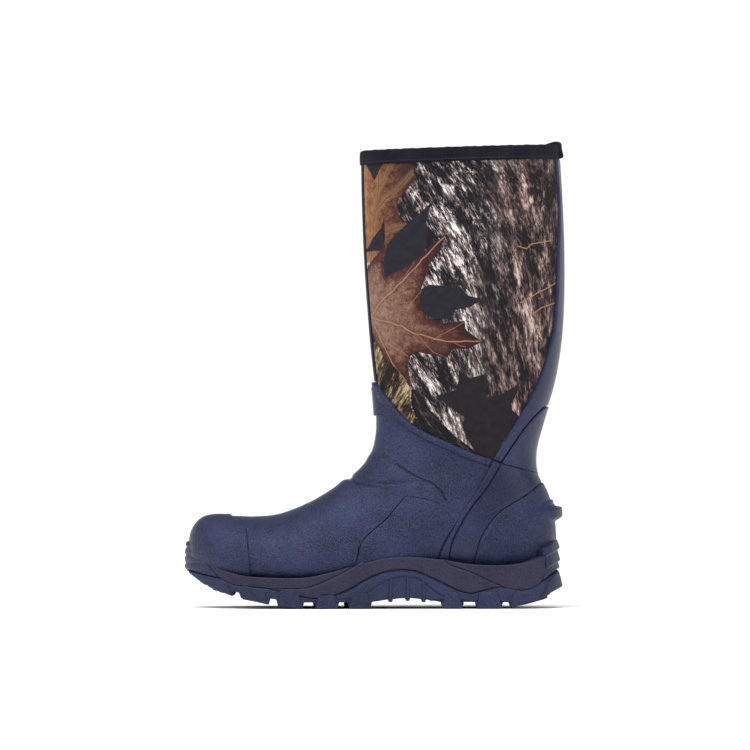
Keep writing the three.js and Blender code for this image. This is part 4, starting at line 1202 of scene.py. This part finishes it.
def plan_sheet(height, step=1.6):
    """A level sheet over the boot's floor that faces up."""
    x = np.arange(-142, 140, step)
    y = np.arange(-50, 51, step)
    gx, gy = np.meshgrid(x, y, indexing="ij")
    gz = np.interp(gx, FOOTBED_FLOOR[:, 0], FOOTBED_FLOOR[:, 1]) + height
    return Sheet(np.stack([gx, gy, gz], axis=2), False, lambda p: p - np.array([0.0, 0.0, 1.0]))


def footbed_outline():
    """Where a level cut at the footbed's height meets the lining, with some clearance."""
    room = skin_sheet(lambda u: CAVITY_FOOT + 3.2 + 0 * u, 2.0, 160).points.reshape(-1, 3)
    level = np.interp(room[:, 0], FOOTBED_FLOOR[:, 0], FOOTBED_FLOOR[:, 1]) + CAVITY_FOOT + 6
    cut = room[np.abs(room[:, 2] - level) < 2.2]
    stations = np.linspace(cut[:, 0].min() + 11, cut[:, 0].max() - 3, 15)
    ends = []
    for x in stations:
        y = cut[np.abs(cut[:, 0] - x) < 4, 1]
        ends.append((x, y.min(), y.max()))
    low = [(x, a) for x, a, _ in ends]
    high = [(x, b) for x, _, b in ends]
    return closed_curve(low + high[::-1], 90)[:-1]


def build_inside():
    lining = skin_sheet(cavity, 2.0, 240)
    lining.normals = -lining.normals
    fleece = shape(lining, above(-FAR), 0.0, 0.0, 1.0, deep=LINING)
    add("fleece_lining", [fleece], fleece_material())
    edge = within(footbed_outline(), (0, 1))

    def cupped(p, s):
        rim = 2.0 * np.clip(1 - s / 10, 0, 1) ** 2 * np.clip(s / 2, 0, 1)
        return rim + 0.5 * np.exp(-((p[:, 0] - 5) / 30) ** 2)

    foam = shape(plan_sheet(CAVITY_FOOT + 2.8), edge, 0.0, 4.6, 1.8, deep=0.0, relief=cupped)
    add("footbed_foam", [foam], foam_material(), "footbed")
    cover = shape(plan_sheet(CAVITY_FOOT + 7.5), edge, 0.0, 1.0, 0.8, deep=0.2, relief=cupped)
    add("footbed_cover", [cover], footbed_knit_material(), "footbed")


build_rubber_foot()
build_kick_lug()
build_shaft()
build_binding()
build_inside()

# ------------------------------------------------------------------ sole

WALL = wall_sheet()
TREAD = tread_sheet()
CHEVRON = [(-9, -16), (-2, -16), (6, 0), (-2, 16), (-9, 16), (-3, 0)]
LUG_INNER_EDGE = 21
LUG_SLANT = 5
TOE_LUG = (-140, -118)
ARCH_BAND_FOOT = smooth([(-32, 8), (-14, 10.5), (-0.8, 18.1), (9, 23.8), (19.3, 26.9), (30, 27), (38, 24.8),
                         (47, 18), (56, 11.5), (66, 9)])


def floor_at(x):
    return np.interp(x, TREAD_FLOOR[:, 0], TREAD_FLOOR[:, 1])


def foot_at(x):
    return np.interp(x, LUG_FEET[:, 0], LUG_FEET[:, 1])


def tread_profile():
    """The wall's lower edge: lugs, gaps and the arch's ribs, from the toe to the heel."""
    points = [(-154.8, 28.5)]
    for low, high in [TOE_LUG, *SIDE_LUGS]:
        if low > ARCH[1]:
            for x in ARCH_RIBS:
                base, tip = floor_at(x), floor_at(x) - 2.4
                points += [(x - 2.2, base), (x - 1.4, tip), (x + 1.4, tip), (x + 2.2, base)]
        feet = [(x, foot_at(x)) for x in (low + 1.6, high - 1.6)]
        points += [(low, floor_at(low)), *feet, (high, floor_at(high))]
    return points


def ribs(pitch, start, height):
    """Stacked rounded ribs with narrow grooves between them."""
    def relief(p, s):
        phase = (p[:, 2] - start) / pitch
        swell = 1 - np.abs(2 * (phase - np.floor(phase)) - 1) ** 3
        return height * swell * np.clip(s / 1.5, 0, 1)
    return relief


def shingles(pitch, top, height, slant):
    """Steps that stand out further and further down to their lower edges."""
    def relief(p, s):
        phase = (top + slant * (p[:, 0] - 154) - p[:, 2]) / pitch
        share = phase - np.floor(phase)
        return height * share * np.clip((1 - share) / 0.12, 0, 1) * np.clip(s / 1.5, 0, 1)
    return relief


def on_wall(name, edges, material, base, thick, edge, slot, deep=SOLE_DEPTH, **kwargs):
    """A panel of the sole's side wall."""
    add(name, [shape(WALL, within(edges), base, thick, edge, deep, **kwargs)], material)


def wall_details():
    """Raised faces of the lugs, the band over the arch and its ribs, and the block at the heel."""
    made = []
    for low, high in [TOE_LUG, *SIDE_LUGS[:-1]]:
        rise = 7.0 if low < -100 else 8.5
        face = [(low + 1.4, foot_at(low) + 0.6), (high - 1.4, foot_at(high) + 0.6),
                (high - 4.5, floor_at(high - 4) + rise), (low + 3.5, floor_at(low + 4) + rise)]
        made.append(shape(WALL, within(round_corners(face, 2.0)), 0.9, 1.1, 1.0))
    top = MIDSOLE_UNDERSIDE[(MIDSOLE_UNDERSIDE[:, 0] > -33) & (MIDSOLE_UNDERSIDE[:, 0] < 68)] - (0, 1.6)
    made.append(shape(WALL, within(outline(ARCH_BAND_FOOT, top[::-1])), 0.9, 1.3, 1.2))
    for x in ARCH_RIBS:
        rib = [(x - 1.5, floor_at(x) - 1.8), (x + 1.5, floor_at(x) - 1.8), (x + 1.0, 26), (x - 1.0, 26)]
        made.append(shape(WALL, within(np.array(rib)), 0.9, 1.1, 0.9))
    end = smooth([(137, 9), (140.5, 16), (143.5, 23), (146, 27)])
    heel = outline([(114, 1.5), (126, 4), (134.5, 6.8)], end, [(134, 15.5), (124, 13.4), (116, 14.5)])
    made.append(shape(WALL, within(round_corners(heel[::2], 1.5)), 0.9, 1.0, 1.0))
    block_front = smooth([(137.5, 8.2), (141.5, 14), (145, 21), (149, 28.5)])
    block = outline(block_front, [(153, 30), (154.5, 25), (156, 18)])
    made.append(shape(WALL, within(block), 0.9, 1.4, 1.2))
    return made


def tread_details():
    """The tread's floor under the sole, and what stands out from it."""
    footprint = closed_curve(FOOTPRINT, 120)[:-1]
    edge = within(footprint, (0, 1))

    def inner(inset):
        return lambda p, n: edge(p, n) - inset

    made = [shape(TREAD, inner(0.6), 0.0, 0.0, 1.0, deep=4.0)]
    for low, high in [TOE_LUG, *SIDE_LUGS]:
        for side in (-1, 1):
            outer, inside = side * 80, side * LUG_INNER_EDGE
            lug = np.array([(low + 0.6, outer), (high - 0.6, outer), (high - LUG_SLANT, inside),
                            (low + LUG_SLANT, inside)])
            tall = float(np.mean([floor_at(x) - foot_at(x) for x in (low + 3, high - 3)]))
            field = both(within(lug, (0, 1)), inner(0.3))
            made.append(shape(TREAD, field, 0.0, max(tall, 1.5), 1.0))
    for x in CENTRE_LUGS:
        tall = float(floor_at(x) - foot_at(x))
        chevron = within(np.array(CHEVRON) + (x, 0), (0, 1))
        made.append(shape(TREAD, both(chevron, inner(4.0)), 0.0, tall, 0.9))
    for x in ARCH_RIBS:
        bar = np.array([(x - 1.6, -80), (x + 1.6, -80), (x + 1.6, 80), (x - 1.6, 80)])
        made.append(shape(TREAD, both(within(bar, (0, 1)), inner(0.4)), 0.0, 2.4, 0.8))
    return made


def build_sole():
    front_top = MIDSOLE_TOP[MIDSOLE_TOP[:, 0] < -12]
    front = outline(MIDSOLE_NOSE, [(-92, 17.7)], SADDLE_FRONT[1:], front_top[::-1][:-1])
    on_wall("midsole_front", front, MIDSOLE, 0.0, 0.9, 1.2, "midsole_foam")
    top = MIDSOLE_TOP[(MIDSOLE_TOP[:, 0] > -9) & (MIDSOLE_TOP[:, 0] < 57)]
    under = MIDSOLE_UNDERSIDE[(MIDSOLE_UNDERSIDE[:, 0] > -91) & (MIDSOLE_UNDERSIDE[:, 0] < 111)]
    on_wall("midsole_saddle", outline(SADDLE_FRONT, top, SADDLE_BACK, under[::-1]), MIDSOLE, 0.0, 2.0, 1.6,
            "midsole_foam")
    heel_top = MIDSOLE_TOP[MIDSOLE_TOP[:, 0] > 59]
    heel_under = MIDSOLE_UNDERSIDE[MIDSOLE_UNDERSIDE[:, 0] > 113]
    heel = outline(SADDLE_BACK, heel_under, MIDSOLE_BACK, heel_top[::-1])
    on_wall("midsole_heel", heel, MIDSOLE, 0.0, 1.0, 1.4, "midsole_foam")
    wall = within(outline(tread_profile(), HEEL_END, OUTSOLE_TOP[::-1]))
    outsole = [shape(WALL, wall, -0.6, 1.6, 1.2, deep=2.5), *wall_details(), *tread_details()]
    add("outsole", outsole, SOLE)
    toe = outline(TOE_BUMPER_TOP, MIDSOLE_NOSE[:9], OUTSOLE_NOSE[::-1], [(-162, 31.5)])
    on_wall("toe_bumper", toe, SOLE, -1.6, 1.8, 2.2, "sole_rubber", BUMPER_DEPTH,
            relief=ribs(6.6, 31.0, 1.0))
    back = outline(HEEL_BUMPER_TOP, [(162, 33), (153.4, 32.5)], MIDSOLE_BACK)
    on_wall("heel_bumper", back, SOLE, -1.4, 1.6, 1.6, "sole_rubber", BUMPER_DEPTH,
            relief=shingles(10.4, 59.5, 2.4, 0.5))


build_sole()

# ------------------------------------------------------------------ stage, light and camera


def build_stage():
    g = Graph("studio_floor")
    speck = g.noise(g.place(), 3.0, 2.0)
    colour = g.ramp(speck, (0.3, rgb(250, 250, 250)), (0.7, rgb(253, 253, 253)))
    material = g.finish(colour, 0.9, specular=0.1)
    mesh = bpy.data.meshes.new("studio_floor")
    mesh.from_pydata([(-9, -9, 0), (9, -9, 0), (9, 9, 0), (-9, 9, 0)], [], [(0, 1, 2, 3)])
    mesh.materials.append(material)
    floor = bpy.data.objects.new("studio_floor", mesh)
    bpy.context.scene.collection.objects.link(floor)


HORIZON = 1.03  # the dome's strength at the horizon
DOME = 0.25  # and overhead
KEY = 3.4
KEY_ANGLE = 50
KEY_FROM = (-0.08, -0.42, 1.0)


def area_light(name, where, aim, size, power):
    data = bpy.data.lights.new(name, "AREA")
    data.shape = "RECTANGLE"
    data.size, data.size_y = size
    data.energy = power
    lamp = bpy.data.objects.new(name, data)
    lamp.location = where
    lamp.rotation_euler = (Vector(aim) - Vector(where)).to_track_quat("-Z", "Y").to_euler()
    bpy.context.scene.collection.objects.link(lamp)


def build_light():
    """A dome that is white along the horizon and greyer overhead, a soft high key light and two strips."""
    world = bpy.data.worlds.new("studio")
    bpy.context.scene.world = world
    world.use_nodes = True
    nodes, links = world.node_tree.nodes, world.node_tree.links
    direction = nodes.new("ShaderNodeTexCoord")
    height = nodes.new("ShaderNodeSeparateXYZ")
    strength = nodes.new("ShaderNodeMapRange")
    strength.interpolation_type = "SMOOTHSTEP"
    for socket, value in zip(strength.inputs, (None, 0.12, 0.4, HORIZON, DOME)):
        if value is not None:
            socket.default_value = value
    links.new(direction.outputs["Generated"], height.inputs[0])
    links.new(height.outputs["Z"], strength.inputs[0])
    links.new(strength.outputs[0], nodes["Background"].inputs["Strength"])
    nodes["Background"].inputs["Color"].default_value = (1, 1, 1, 1)
    sun = bpy.data.lights.new("key", "SUN")
    sun.energy = KEY
    sun.angle = math.radians(KEY_ANGLE)
    key = bpy.data.objects.new("key", sun)
    key.rotation_euler = (-Vector(KEY_FROM)).to_track_quat("-Z", "Y").to_euler()
    bpy.context.scene.collection.objects.link(key)
    area_light("left_strip", (-1.1, -0.5, 0.9), (0, 0, 0.15), (0.3, 1.0), 9)
    area_light("right_strip", (1.2, -0.7, 0.6), (0.1, 0, 0.15), (0.3, 1.0), 7)
    bpy.context.scene.view_settings.view_transform = "Standard"


def build_camera():
    data = bpy.data.cameras.new("camera")
    data.lens = 450
    data.clip_end = 100
    camera = bpy.data.objects.new("camera", data)
    camera.location = (0, -7.88, 0.1955)
    camera.rotation_euler = (math.radians(90), 0, 0)
    bpy.context.scene.collection.objects.link(camera)
    bpy.context.scene.camera = camera


build_stage()
build_light()
build_camera()
